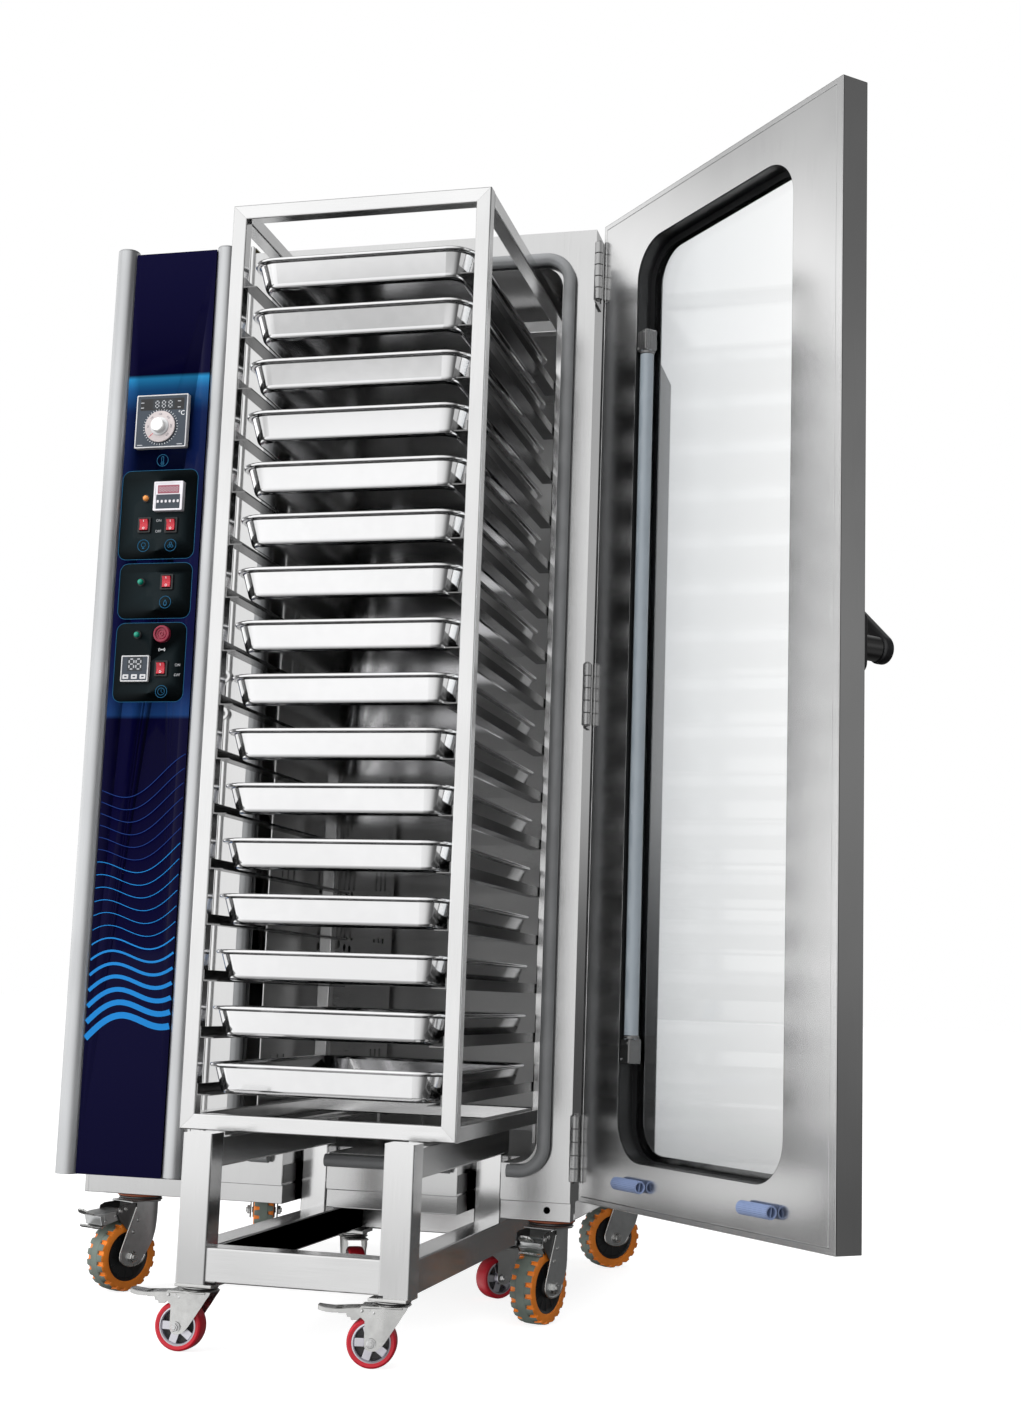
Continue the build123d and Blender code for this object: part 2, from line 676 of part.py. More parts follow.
def casterFork(size, caster):
    half = size["wheelWide"] / 2 + 4
    r = size["wheelRadius"]
    trail = size["trail"]
    top = size["top"]
    boss = r * 0.27
    race = rodZ(0, 0, top - 8, top - 0.2, size["raceRadius"])
    with BuildSketch(Plane.XZ) as outline:
        with BuildLine():
            Polyline(
                (-size["raceRadius"] * 0.62, top - 7), (size["pivotAlong"] + r * 0.1, top - 7),
                (size["pivotAlong"] + r * 0.14, size["pivotUp"] - r * 0.12), (trail + boss, r),
                (trail - boss, r), close=True,
            )
        make_face()
        with Locations((trail, r)):
            Circle(boss)
    plate = extrude(outline.sketch, size["cheek"])
    fork = race
    fork += Pos(0, half + size["cheek"], 0) * plate
    fork += Pos(0, -half, 0) * plate
    fork += block(-size["raceRadius"] * 0.62, size["pivotAlong"] - r * 0.22, -half - 1, half + 1, top - 11, top - 7)
    fork += rodY(trail, -half - size["cheek"] - 5, half + size["cheek"] + 5, r, size["axle"])
    for side in (-1, 1):
        face = side * (half + size["cheek"] + 2.4)
        fork += hexPlate(trail, face + 2.6, r, size["axle"] * 2.6, 5.2)
    if caster[3]:
        fork += rodY(size["pivotAlong"], -half - 2, half + 2, size["pivotUp"], size["axle"] / 2)
    return [placeCaster(caster, fork)]


def casterWheel(size, caster):
    r = size["wheelRadius"]
    half = size["wheelWide"] / 2
    with BuildSketch(Plane.XZ) as outline:
        with BuildLine():
            Polyline(
                (size["axle"] + 0.06, -half - 3), (r * 0.3, -half - 3), (r * 0.34, -half + 4), (r * 0.62, -half + 6),
                (r * 0.68, -half + 2), (r * 0.9, -half), (r, -half * 0.55), (r, half * 0.55), (r * 0.9, half),
                (r * 0.68, half - 2), (r * 0.62, half - 6), (r * 0.34, half - 4), (r * 0.3, half + 3),
                (size["axle"] + 0.06, half + 3), close=True,
            )
        make_face()
    wheel = revolve(outline.sketch, Axis.Z)
    wheel = Pos(size["trail"], 0, r) * Rot(90, 0, 0) * wheel
    return [placeCaster(caster, wheel)]


def casterPedal(size, caster):
    half = size["wheelWide"] / 2 + 3
    along = size["pivotAlong"]
    up = size["pivotUp"]
    thick = size["pedalThick"]
    reach = caster[3]
    with BuildSketch(Plane.XZ) as outline:
        with BuildLine():
            Polyline(
                (along, up - thick / 2), (reach - 22, up - thick * 0.7), (reach, up + thick * 0.9),
                (reach - 3, up + thick * 1.6), (reach - 24, up + thick * 0.4), (along, up + thick / 2), close=True,
            )
        make_face()
        with Locations((along, up)):
            Circle(thick * 0.85)
    pedal = extrude(outline.sketch, half, both=True)
    pedal -= rodY(along, -half - 1, half + 1, up, size["axle"] / 2 + 0.06)
    return [placeCaster(caster, pedal)]


write("cabinet_shell", *cabinetShell())
write("base_frame", *baseFrame())
write("cavity_liner", *cavityLiner())
write("insulation", *insulation())
write("door_gasket", *doorGasket())
write("column_profiles", *columnProfiles())
write("control_panel", *controlPanel())
write("temperature_dial", *dialKnob())
for rockerName, (rockerX, rockerZ) in rockers.items():
    write(rockerName, *rocker(rockerX, rockerZ))
write("fan_baffle", *fanBaffle())
write("fan_wheel_lower", *fanWheel(fanHeights[0]))
write("fan_wheel_upper", *fanWheel(fanHeights[1]))
write("fan_motors", *fanMotors())
write("heater_elements", *heaterElements())
write("door_frame_fittings", *doorFrameFittings())
write("door_shell", *doorShell())
write("door_glass", *doorGlass())
write("door_fittings", *doorFittings())
write("handle_lever", *handleLever())
write("rack_frame", *rackFrame())
for index in range(trayCount):
    write(f"tray_{index + 1:02d}", *tray(index))
write("trolley_frame", *trolleyFrame())
for prefix, size, casters in (("oven", orangeSize, orangeCasters), ("trolley", redSize, redCasters)):
    for place, caster in casters.items():
        write(f"{prefix}_caster_fork_{place}", *casterFork(size, caster))
        write(f"{prefix}_caster_wheel_{place}", *casterWheel(size, caster))
        if caster[3]:
            write(f"{prefix}_brake_pedal_{place}", *casterPedal(size, caster))
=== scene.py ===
import bpy, bmesh, math
from mathutils import Matrix, Vector


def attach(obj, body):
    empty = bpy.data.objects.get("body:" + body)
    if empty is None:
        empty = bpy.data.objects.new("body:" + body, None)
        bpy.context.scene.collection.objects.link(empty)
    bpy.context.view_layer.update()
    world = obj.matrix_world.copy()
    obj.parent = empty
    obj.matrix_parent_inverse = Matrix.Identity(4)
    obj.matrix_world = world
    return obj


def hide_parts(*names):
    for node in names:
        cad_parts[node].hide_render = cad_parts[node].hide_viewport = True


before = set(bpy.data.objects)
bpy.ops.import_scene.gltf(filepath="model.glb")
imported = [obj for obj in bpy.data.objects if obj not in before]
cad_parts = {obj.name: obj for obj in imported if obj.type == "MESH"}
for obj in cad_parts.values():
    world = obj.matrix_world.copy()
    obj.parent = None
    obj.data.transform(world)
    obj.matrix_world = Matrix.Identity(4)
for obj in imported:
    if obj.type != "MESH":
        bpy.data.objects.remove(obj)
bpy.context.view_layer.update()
scene = bpy.context.scene
print("frame loaded with", len(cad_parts), "nodes")

# Sizes are in millimetres in one drawing frame: X to the right, Y into the oven, Z up, cabinet front at Y 0
def at(x, y, z):
    return Matrix.Translation((x, y, z))


def spun(degrees, axis):
    return Matrix.Rotation(math.radians(degrees), 4, axis)


origin, alongX, alongY, alongZ, outwards = (0, 0, 0), (1, 0, 0), (0, 1, 0), (0, 0, 1), (0, -1, 0)
toModel = Matrix.Scale(0.001, 4) @ at(-131.689, -198.051, 0)
doorPivot = {"x": 339.5, "y": -17.0, "openDegrees": 133.3}
toHinge = at(doorPivot["x"], doorPivot["y"], 0)
doorTurn = toHinge @ spun(doorPivot["openDegrees"], "Z") @ toHinge.inverted()
standUp = spun(90, "X")  # a flat drawing in XY becomes one in XZ, its back towards the oven

# Shared material nodes
def startMaterial(name, colour, metallic=0.0, roughness=0.5):
    material = bpy.data.materials.new(name)
    material.use_nodes = True
    tree = material.node_tree
    shader = tree.nodes["Principled BSDF"]
    shader.inputs["Base Color"].default_value = (*colour, 1)
    shader.inputs["Metallic"].default_value = metallic
    shader.inputs["Roughness"].default_value = roughness
    return material, tree, shader


def addNode(tree, kind, **settings):
    node = tree.nodes.new("ShaderNode" + kind)
    for key, value in settings.items():
        if hasattr(node, key):
            setattr(node, key, value)
        else:
            node.inputs[key].default_value = value
    return node


def wire(tree, source, target, out=0, into=0):
    tree.links.new(source.outputs[out], target.inputs[into])


def patternFrom(tree, stretch):
    place = addNode(tree, "TexCoord")
    mapping = addNode(tree, "Mapping", Scale=stretch)
    wire(tree, place, mapping, out="Object", into="Vector")
    return mapping


def noise(tree, stretch, **settings):
    node = addNode(tree, "TexNoise", **settings)
    wire(tree, patternFrom(tree, stretch), node)
    return node


# Takes a value from one range to another
def mapped(tree, source, low=0.0, high=1.0, toLow=0.0, toHigh=1.0, out=0, **settings):
    node = addNode(tree, "MapRange", **settings)
    for name, value in (("From Min", low), ("From Max", high), ("To Min", toLow), ("To Max", toHigh)):
        node.inputs[name].default_value = value
    wire(tree, source, node, out)
    return node


def bumped(tree, source, shader, strength, distance):
    bump = addNode(tree, "Bump", Strength=strength, Distance=distance)
    wire(tree, source, bump, into="Height")
    wire(tree, bump, shader, into="Normal")


def ramp(tree, stops):
    node = addNode(tree, "ValToRGB")
    elements = node.color_ramp.elements
    while len(elements) < len(stops):
        elements.new(0.5)
    for element, (where, colour) in zip(elements, stops):
        element.position = where
        element.color = (*colour, 1) if len(colour) == 3 else colour
    return node


def shade(colour, by):
    return tuple(min(1.0, c * by) for c in colour)


# Metal with a grain along one axis: "stretch" is small along the grain
def grainedMetal(name, colour, roughness, stretch, depth=0.12, cloud=0.08, spread=0.07):
    material, tree, shader = startMaterial(name, colour, 1.0, roughness)
    grain = noise(tree, stretch, Scale=1.0, Detail=4.0, Roughness=0.6)
    cloudy = noise(tree, (1, 1, 1), Scale=4.0, Detail=2.0)
    tint = ramp(tree, [(0.35, shade(colour, 1 - cloud)), (0.65, shade(colour, 1 + cloud))])
    mixed = addNode(tree, "Math", operation="MULTIPLY_ADD")
    wire(tree, grain, mixed)
    mixed.inputs[1].default_value = 0.45
    wire(tree, cloudy, mixed, into=2)
    centred = addNode(tree, "Math", operation="SUBTRACT")
    wire(tree, mixed, centred)
    centred.inputs[1].default_value = 0.225
    wire(tree, centred, tint)
    wire(tree, tint, shader, into="Base Color")
    dull = mapped(tree, centred, toLow=max(0.02, roughness - spread), toHigh=roughness + spread)
    wire(tree, dull, shader, into="Roughness")
    bumped(tree, grain, shader, depth, 0.0004)
    return material


# Plastic, rubber or paint: a fine skin, faint clouds of colour and of gloss
def mouldedSkin(name, colour, roughness, speckle=900.0, depth=0.1, cloud=0.12, coat=0.0, metallic=0.0, shine=0.5):
    material, tree, shader = startMaterial(name, colour, metallic, roughness)
    skin = noise(tree, (1, 1, 1), Scale=speckle, Detail=3.0)
    cloudy = noise(tree, (1, 1, 1), Scale=14.0, Detail=4.0)
    tint = ramp(tree, [(0.3, shade(colour, 1 - cloud)), (0.7, shade(colour, 1 + cloud))])
    wire(tree, cloudy, tint)
    wire(tree, tint, shader, into="Base Color")
    dull = mapped(tree, cloudy, toLow=max(0.02, roughness * 0.8), toHigh=min(1.0, roughness * 1.2))
    wire(tree, dull, shader, into="Roughness")
    bumped(tree, skin, shader, depth, 0.0002)
    shader.inputs["Coat Weight"].default_value = coat
    shader.inputs["Specular IOR Level"].default_value = shine
    return material


upright = (1400, 1400, 14)  # grain runs up the object
across = (14, 1400, 1400)
inward = (1400, 14, 1400)
cabinetSteel = grainedMetal("cabinetSteel", (0.60, 0.60, 0.60), 0.17, upright, depth=0.035, cloud=0.05, spread=0.04)
linerSteel = grainedMetal("linerSteel", (0.54, 0.54, 0.54), 0.30, inward, depth=0.05)
doorSteel = grainedMetal("doorSteel", (0.71, 0.71, 0.71), 0.20, upright, depth=0.04, cloud=0.05, spread=0.05)
tubeSteel = grainedMetal("tubeSteel", (0.70, 0.70, 0.70), 0.18, upright, depth=0.04, cloud=0.05, spread=0.05)
railSteel = grainedMetal("railSteel", (0.74, 0.74, 0.74), 0.20, inward, depth=0.06)
crossSteel = grainedMetal("crossSteel", (0.78, 0.78, 0.78), 0.22, across, depth=0.04, cloud=0.05, spread=0.05)
guideSteel = grainedMetal("guideSteel", (0.21, 0.21, 0.21), 0.22, inward, depth=0.05)
traySteel = grainedMetal("traySteel", (0.86, 0.86, 0.865), 0.11, (40, 40, 40), depth=0.02, cloud=0.03, spread=0.04)
profileMetal = grainedMetal("profileMetal", (0.60, 0.61, 0.62), 0.34, upright, depth=0.08)
chromeBolt = grainedMetal("chromeBolt", (0.70, 0.70, 0.70), 0.20, (300, 300, 300), depth=0.05)
zincPlate = grainedMetal("zincPlate", (0.62, 0.62, 0.61), 0.26, (60, 60, 60), depth=0.05, cloud=0.12)
greyPlate = grainedMetal("greyPlate", (0.58, 0.59, 0.59), 0.36, (60, 60, 60), depth=0.10, cloud=0.15)
# Dark zinc for caster parts, and painted shade lining the base's notches
darkZincAndShade = grainedMetal("darkZincAndShade", (0.16, 0.16, 0.16), 0.35, (60, 60, 60), depth=0.08, cloud=0.15)
hubMetal = grainedMetal("hubMetal", (0.66, 0.65, 0.70), 0.32, (80, 80, 80), depth=0.08, cloud=0.10)
# Black plastic, also used as painted shade in the gap between the caster race plates
blackPlasticAndShade = mouldedSkin("blackPlasticAndShade", (0.010, 0.010, 0.011), 0.38, depth=0.15)
hubPlastic = mouldedSkin("hubPlastic", (0.012, 0.013, 0.014), 0.42, depth=0.2)
rockerRed = mouldedSkin("rockerRed", (0.46, 0.006, 0.022), 0.26, depth=0.04, coat=0.3)
buzzerRed = mouldedSkin("buzzerRed", (0.26, 0.018, 0.045), 0.34, depth=0.05, coat=0.1)
lensOrange = mouldedSkin("lensOrange", (0.80, 0.30, 0.07), 0.18, depth=0.03, coat=0.6)
lensGreen = mouldedSkin("lensGreen", (0.0, 0.26, 0.17), 0.16, depth=0.03, coat=0.6)
sealRubber = mouldedSkin("sealRubber", (0.21, 0.215, 0.22), 0.42, speckle=500.0, depth=0.12)
tubeBlue = mouldedSkin("tubeBlue", (0.20, 0.26, 0.43), 0.45, speckle=300.0, depth=0.15)
orangeRubber = mouldedSkin("orangeRubber", (0.86, 0.235, 0.022), 0.44, speckle=260.0, depth=0.2, cloud=0.2)
treadGrey = mouldedSkin("treadGrey", (0.15, 0.18, 0.155), 0.62, speckle=200.0, depth=0.35, cloud=0.35)
redRubber = mouldedSkin("redRubber", (0.50, 0.008, 0.022), 0.36, speckle=260.0, depth=0.12, cloud=0.15)
raceOrange = mouldedSkin("raceOrange", (0.50, 0.13, 0.06), 0.4, depth=0.1)
whitePrint = mouldedSkin("whitePrint", (0.80, 0.82, 0.84), 0.4, depth=0.02, cloud=0.03)
woolYellow = mouldedSkin("woolYellow", (0.55, 0.47, 0.22), 0.95, speckle=400.0, depth=0.8, cloud=0.25)
motorPaint = mouldedSkin("motorPaint", (0.10, 0.12, 0.14), 0.45, depth=0.2)
heaterOxide = mouldedSkin("heaterOxide", (0.10, 0.09, 0.085), 0.5, depth=0.3, cloud=0.3, metallic=0.6)
print("materials made")


# Making and placing meshes
# Flat areas keep their own light: an edge is sharp where it bends much, or where a large face meets a narrow rounding
def markSharp(bm, crisp):
    bm.faces.ensure_lookup_table()
    area = {}
    group = {}
    for face in bm.faces:
        if face.index in group:
            continue
        stack, members = [face], []
        group[face.index] = face.index
        while stack:
            here = stack.pop()
            members.append(here)
            for edge in here.edges:
                for other in edge.link_faces:
                    if other.index not in group and here.normal.dot(other.normal) > 0.99999:
                        group[other.index] = face.index
                        stack.append(other)
        area[face.index] = sum(m.calc_area() for m in members)
    bend = math.cos(math.radians(crisp))
    for edge in bm.edges:
        faces = edge.link_faces
        if len(faces) == 2 and group[faces[0].index] != group[faces[1].index]:
            sizes = sorted(area[group[f.index]] for f in faces)
            edge.smooth = faces[0].normal.dot(faces[1].normal) > bend and sizes[1] < 9 * sizes[0]


def settle(name, mesh, materials, body, stands=(), turn=None, crisp=32, merge=True):
    made = bmesh.new()
    made.from_mesh(mesh)
    if merge:
        bmesh.ops.remove_doubles(made, verts=made.verts, dist=0.002)
        bmesh.ops.recalc_face_normals(made, faces=made.faces)
    made.normal_update()
    for face in made.faces:
        face.smooth = True
    markSharp(made, crisp)
    made.to_mesh(mesh)
    made.free()
    mesh.transform(toModel @ turn if turn else toModel)
    finishes = [0] * len(mesh.polygons)
    mesh.polygons.foreach_get("material_index", finishes)
    mesh.materials.clear()
    for material in materials:
        mesh.materials.append(material)
    mesh.polygons.foreach_set("material_index", finishes)
    piece = bpy.data.objects.new(name, mesh)
    scene.collection.objects.link(piece)
    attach(piece, body)
    if stands:
        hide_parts(*stands)
    return piece


def toMesh(bm, round=0.0, steps=2, limit=50):
    mesh = bpy.data.meshes.new("shape")
    bm.to_mesh(mesh)
    bm.free()
    return softened(mesh, round, steps, limit) if round else mesh


# Rounds every edge sharper than the limit, in the drawing's millimetres
def softened(mesh, width, steps=2, limit=50):
    holder = bpy.data.objects.new("holder", mesh)
    scene.collection.objects.link(holder)
    bevel = holder.modifiers.new("round", "BEVEL")
    bevel.width = width
    bevel.segments = steps
    bevel.limit_method = "ANGLE"
    bevel.angle_limit = math.radians(limit)
    bevel.use_clamp_overlap = True
    result = bpy.data.meshes.new_from_object(holder.evaluated_get(bpy.context.evaluated_depsgraph_get()))
    bpy.data.objects.remove(holder)
    return result


def joined(*meshes):
    bm = bmesh.new()
    for mesh in meshes:
        bm.from_mesh(mesh)
    return toMesh(bm)


def tinted(mesh, index):
    for polygon in mesh.polygons:
        polygon.material_index = index
    return mesh


def moved(mesh, matrix):
    mesh.transform(matrix)
    return mesh


def copied(mesh, matrix):
    return moved(mesh.copy(), matrix)


# Boxes of (x0, x1, y0, y1, z0, z1) as one mesh
def blocks(*boxes, finish=0, **softly):
    bm = bmesh.new()
    for x0, x1, y0, y1, z0, z1 in boxes:
        corners = [bm.verts.new((x, y, z)) for z in (z0, z1) for y in (y0, y1) for x in (x0, x1)]
        for ring in ((0, 2, 3, 1), (4, 5, 7, 6), (0, 1, 5, 4), (2, 6, 7, 3), (0, 4, 6, 2), (1, 3, 7, 5)):
            bm.faces.new([corners[i] for i in ring]).material_index = finish
    return toMesh(bm, **softly)


# Skins a row of rings, each a list of points, and caps both ends
def skinned(rings, finish=0):
    bm = bmesh.new()
    rings = [[bm.verts.new(point) for point in ring] for ring in rings]
    for low, high in zip(rings, rings[1:]):
        for i in range(len(low)):
            j = (i + 1) % len(low)
            bm.faces.new((low[i], low[j], high[j], high[i])).material_index = finish
    for ring in (rings[0], rings[-1]):
        bm.faces.new(ring).material_index = finish
    bmesh.ops.recalc_face_normals(bm, faces=bm.faces)
    return bm


def roundedLoop(halfWide, halfHigh, radius, steps):
    points = []
    for cx, cy, start in ((1, 1, 0), (-1, 1, 90), (-1, -1, 180), (1, -1, 270)):
        for i in range(steps + 1):
            a = math.radians(start + 90 * i / steps)
            points.append((cx * (halfWide - radius) + radius * math.cos(a),
                           cy * (halfHigh - radius) + radius * math.sin(a)))
    return points


def ringLoop(x, y, radius, steps):
    return [(x + radius * math.cos(2 * math.pi * i / steps),
             y + radius * math.sin(2 * math.pi * i / steps)) for i in range(steps)]


def shifted(loop, dx, dy):
    return [(x + dx, y + dy) for x, y in loop]


def loopAt(x, y, halfWide, halfHigh, radius, steps):
    return shifted(roundedLoop(halfWide, halfHigh, radius, steps), x, y)


# A flat sheet with holes, cut from outlines and lightly rounded on every edge
def cutSheet(loops, thick, edge=0.0, edgeSteps=1):
    curve = bpy.data.curves.new("sheet", "CURVE")
    curve.dimensions = "2D"
    curve.fill_mode = "BOTH"
    curve.extrude = thick / 2 - edge
    curve.bevel_depth = edge
    curve.bevel_resolution = edgeSteps
    curve.offset = -edge
    for loop in loops:
        spline = curve.splines.new("POLY")
        spline.points.add(len(loop) - 1)
        for point, (x, y) in zip(spline.points, loop):
            point.co = (x, y, 0, 1)
        spline.use_cyclic_u = True
    holder = bpy.data.objects.new("sheet", curve)
    scene.collection.objects.link(holder)
    bpy.context.view_layer.update()
    mesh = bpy.data.meshes.new_from_object(holder.evaluated_get(bpy.context.evaluated_depsgraph_get()))
    bpy.data.objects.remove(holder)
    bm = bmesh.new()
    bm.from_mesh(mesh)
    bmesh.ops.remove_doubles(bm, verts=bm.verts, dist=0.001)
    bmesh.ops.recalc_face_normals(bm, faces=bm.faces)
    return toMesh(bm)


# Stands a flat sheet up in the XZ plane, its front face at "front"
def stoodSheet(loops, thick, front, edge=0.0, edgeSteps=1):
    return moved(cutSheet(loops, thick, edge, edgeSteps), at(0, front + thick / 2, 0) @ standUp)


def boxLoop(x0, x1, z0, z1, corner, steps):
    return loopAt((x0 + x1) / 2, (z0 + z1) / 2, (x1 - x0) / 2, (z1 - z0) / 2, corner, steps)


# A lathe profile and its mirror image about the middle of the axis
def bothSides(profile):
    return profile + [(radius, -along) for radius, along in reversed(profile)]


# Turns a profile of (radius, along) round an axis
def lathe(profile, centre, axis, steps=32, closed=False, finish=0):
    bm = bmesh.new()
    axis = Vector(axis).normalized()
    side = axis.orthogonal().normalized()
    up = axis.cross(side)
    rings = []
    for radius, along in profile:
        middle = Vector(centre) + axis * along
        if radius < 1e-6:
            rings.append([bm.verts.new(middle)])
        else:
            rings.append([bm.verts.new(middle + (side * math.cos(a) + up * math.sin(a)) * radius)
                          for a in (2 * math.pi * i / steps for i in range(steps))])
    pairs = list(zip(rings, rings[1:] + ([rings[0]] if closed else [])))
    for low, high in pairs[:len(rings) if closed else len(rings) - 1]:
        for i in range(steps):
            j = (i + 1) % steps
            ring = [low[i % len(low)], low[j % len(low)], high[j % len(high)], high[i % len(high)]]
            ring = list(dict.fromkeys(ring))
            if len(ring) > 2:
                bm.faces.new(ring).material_index = finish
    if not closed:
        for ring in (rings[0], rings[-1]):
            if len(ring) > 2:
                bm.faces.new(ring).material_index = finish
    bmesh.ops.recalc_face_normals(bm, faces=bm.faces)
    return toMesh(bm)


# Carries a cross-section of (side, up) along a path; "up" is square to the path's plane, and corners are mitred
def swept(path, section, up):
    up = Vector(up).normalized()
    path = [Vector(p) for p in path]
    rings = []
    for i, point in enumerate(path):
        before, after = path[max(0, i - 1)], path[min(len(path) - 1, i + 1)]
        first = (point - before).normalized() if before != point else (after - point).normalized()
        second = (after - point).normalized() if after != point else first
        along = (first + second).normalized()
        stretch = 1 / max(0.35, along.dot(second))
        side = along.cross(up).normalized() * stretch
        rings.append([point + side * s + up * u for s, u in section])
    return toMesh(skinned(rings))


# A length of box section with softly rounded long edges; a mitre cuts both ends towards "side"
def boxTube(start, end, side, wide, deep, corner, mitre=0.0, finish=0):
    start, end, side = Vector(start), Vector(end), Vector(side)
    along = (end - start).normalized()
    up = along.cross(side)
    section = roundedLoop(wide / 2, deep / 2, corner, 3)
    first = [start + side * s + up * u + along * (s * mitre) for s, u in section]
    last = [end + side * s + up * u - along * (s * mitre) for s, u in section]
    return toMesh(skinned([first, last], finish))


# Six-sided bolt head with a crowned top, pointing along the axis
def hexHead(centre, axis, acrossFlats, high, finish=0):
    r = acrossFlats / 2 / math.cos(math.pi / 6)
    return lathe([(r, 0), (r, high * 0.8), (r * 0.86, high), (0, high)], centre, axis, 6, finish=finish)


# The tree that repeats a drawn shape in steps and turns
def repeatTree():
    tree = bpy.data.node_groups.new("repeatShape", "GeometryNodeTree")
    face = tree.interface
    face.new_socket("Geometry", in_out="INPUT", socket_type="NodeSocketGeometry")
    for name, kind in (("Count", "NodeSocketInt"), ("Step", "NodeSocketVector"), ("Turn", "NodeSocketVector"),
                       ("Finish", "NodeSocketMaterial")):
        face.new_socket(name, in_out="INPUT", socket_type=kind)
    face.new_socket("Geometry", in_out="OUTPUT", socket_type="NodeSocketGeometry")
    start = tree.nodes.new("NodeGroupInput")
    end = tree.nodes.new("NodeGroupOutput")
    line = tree.nodes.new("GeometryNodeMeshLine")
    index = tree.nodes.new("GeometryNodeInputIndex")
    turn = tree.nodes.new("ShaderNodeVectorMath")
    turn.operation = "SCALE"
    place = tree.nodes.new("GeometryNodeInstanceOnPoints")
    real = tree.nodes.new("GeometryNodeRealizeInstances")
    paint = tree.nodes.new("GeometryNodeSetMaterial")
    link = tree.links.new
    link(start.outputs["Count"], line.inputs["Count"])
    link(start.outputs["Step"], line.inputs["Offset"])
    link(start.outputs["Turn"], turn.inputs[0])
    link(index.outputs[0], turn.inputs["Scale"])
    link(line.outputs[0], place.inputs["Points"])
    link(start.outputs["Geometry"], place.inputs["Instance"])
    link(turn.outputs[0], place.inputs["Rotation"])
    link(place.outputs[0], real.inputs[0])
    link(real.outputs[0], paint.inputs["Geometry"])
    link(start.outputs["Finish"], paint.inputs["Material"])
    link(paint.outputs[0], end.inputs[0])
    return tree


repeatShape = repeatTree()


def repeated(mesh, count, step=(0, 0, 0), turnDegrees=(0, 0, 0), index=0):
    holder = bpy.data.objects.new("repeat", mesh)
    scene.collection.objects.link(holder)
    modifier = holder.modifiers.new("repeat", "NODES")
    modifier.node_group = repeatShape
    values = {"Count": count, "Step": step, "Turn": [math.radians(t) for t in turnDegrees], "Finish": cabinetSteel}
    for item in repeatShape.interface.items_tree:
        if item.in_out == "INPUT" and item.name in values:
            modifier[item.identifier] = values[item.name]
    result = bpy.data.meshes.new_from_object(holder.evaluated_get(bpy.context.evaluated_depsgraph_get()))
    bpy.data.objects.remove(holder)
    return tinted(result, index)



# Camera, light and floor
view = {"position": (998.65, -3160.65, 547.09), "turnLeft": 14.4426, "lookUp": 8.7175, "lean": 1.9997, "lens": 47.004,
        "shift": (0.00516, 0.00394)}
cameraData = bpy.data.cameras.new("photoCamera")
camera = bpy.data.objects.new("photoCamera", cameraData)
scene.collection.objects.link(camera)
aim = (spun(view["turnLeft"], "Z") @ spun(90 + view["lookUp"], "X")
       @ spun(view["lean"], "Z"))
camera.matrix_world = Matrix.Translation(toModel @ Vector(view["position"])) @ aim
cameraData.sensor_width = 36
cameraData.lens = view["lens"]
cameraData.shift_x, cameraData.shift_y = view["shift"]
cameraData.clip_start, cameraData.clip_end = 0.05, 200
scene.camera = camera
scene.view_settings.view_transform = "Standard"

studio = {"paper": 1.0, "bright": 1.25, "dark": 0.035, "keyPower": 95, "topPower": 120, "fillPower": 18,
          "floorGlow": 1.88}
# Brightness against height in the four directions: a factor in front, and plain values at the sides
bands = {"front": ((-0.95, 0.10), (-0.6, 1.0), (-0.19, 1.0), (-0.165, 0.47), (-0.13, 0.47), (-0.10, 1.0), (1.0, 1.0)),
         "left": ((-0.5, 1.2), (-0.13, 0.88), (-0.05, 1.0), (0.01, 1.45), (0.12, 1.5), (0.18, 0.80), (0.245, 0.80),
                  (0.30, 1.5), (0.40, 1.3), (0.43, 0.42), (1.0, 0.5)),
         "back": ((-1.0, 0.08), (-0.25, 0.10), (-0.02, 0.08), (0.04, 0.16), (0.11, 0.5), (1.0, 0.5)),
         "right": ((-0.5, 0.16), (-0.13, 0.09), (0.0, 0.17), (0.12, 0.27), (0.3, 0.22), (0.5, 0.10), (1.0, 0.3))}
world = bpy.data.worlds.new("studio")
scene.world = world
world.use_nodes = True
sky = world.node_tree
sky.nodes.clear()
direction = addNode(sky, "TexCoord")
split = addNode(sky, "SeparateXYZ")
wire(sky, direction, split, out="Generated")
side = addNode(sky, "VectorMath", operation="DOT_PRODUCT")
side.inputs[1].default_value = (-0.55, -0.80, 0.22)  # where the big soft boxes stand
wire(sky, direction, side, out="Generated")
glow = ramp(sky, [(0.0, (studio["dark"],) * 3), (0.42, (0.05,) * 3), (0.56, (0.16,) * 3), (0.72, (0.72,) * 3),
                  (0.86, (1.0,) * 3), (1.0, (studio["bright"],) * 3)])
half = addNode(sky, "Math", operation="MULTIPLY_ADD")
half.inputs[1].default_value = 0.5
half.inputs[2].default_value = 0.5
wire(sky, side, half, out="Value")
wire(sky, half, glow)
height = mapped(sky, split, low=-1.0, out="Z")


def band(name):
    node = ramp(sky, [((z + 1) / 2, (value,) * 3) for z, value in bands[name]])
    wire(sky, height, node)
    return node.outputs[0]


# Weight of a direction, rising from "start" to "full" along one axis
def towards(axis, start, full):
    return mapped(sky, split, start, full, out=axis, interpolation_type="SMOOTHSTEP").outputs[0]


def mixedSky(weight, first, second, kind="MIX"):
    node = addNode(sky, "Mix", data_type="RGBA", blend_type=kind)
    for value, socket in ((weight, 0), (first, 6), (second, 7)):
        if isinstance(value, bpy.types.NodeSocket):
            sky.links.new(value, node.inputs[socket])
        else:
            node.inputs[socket].default_value = value
    return node.outputs[2]


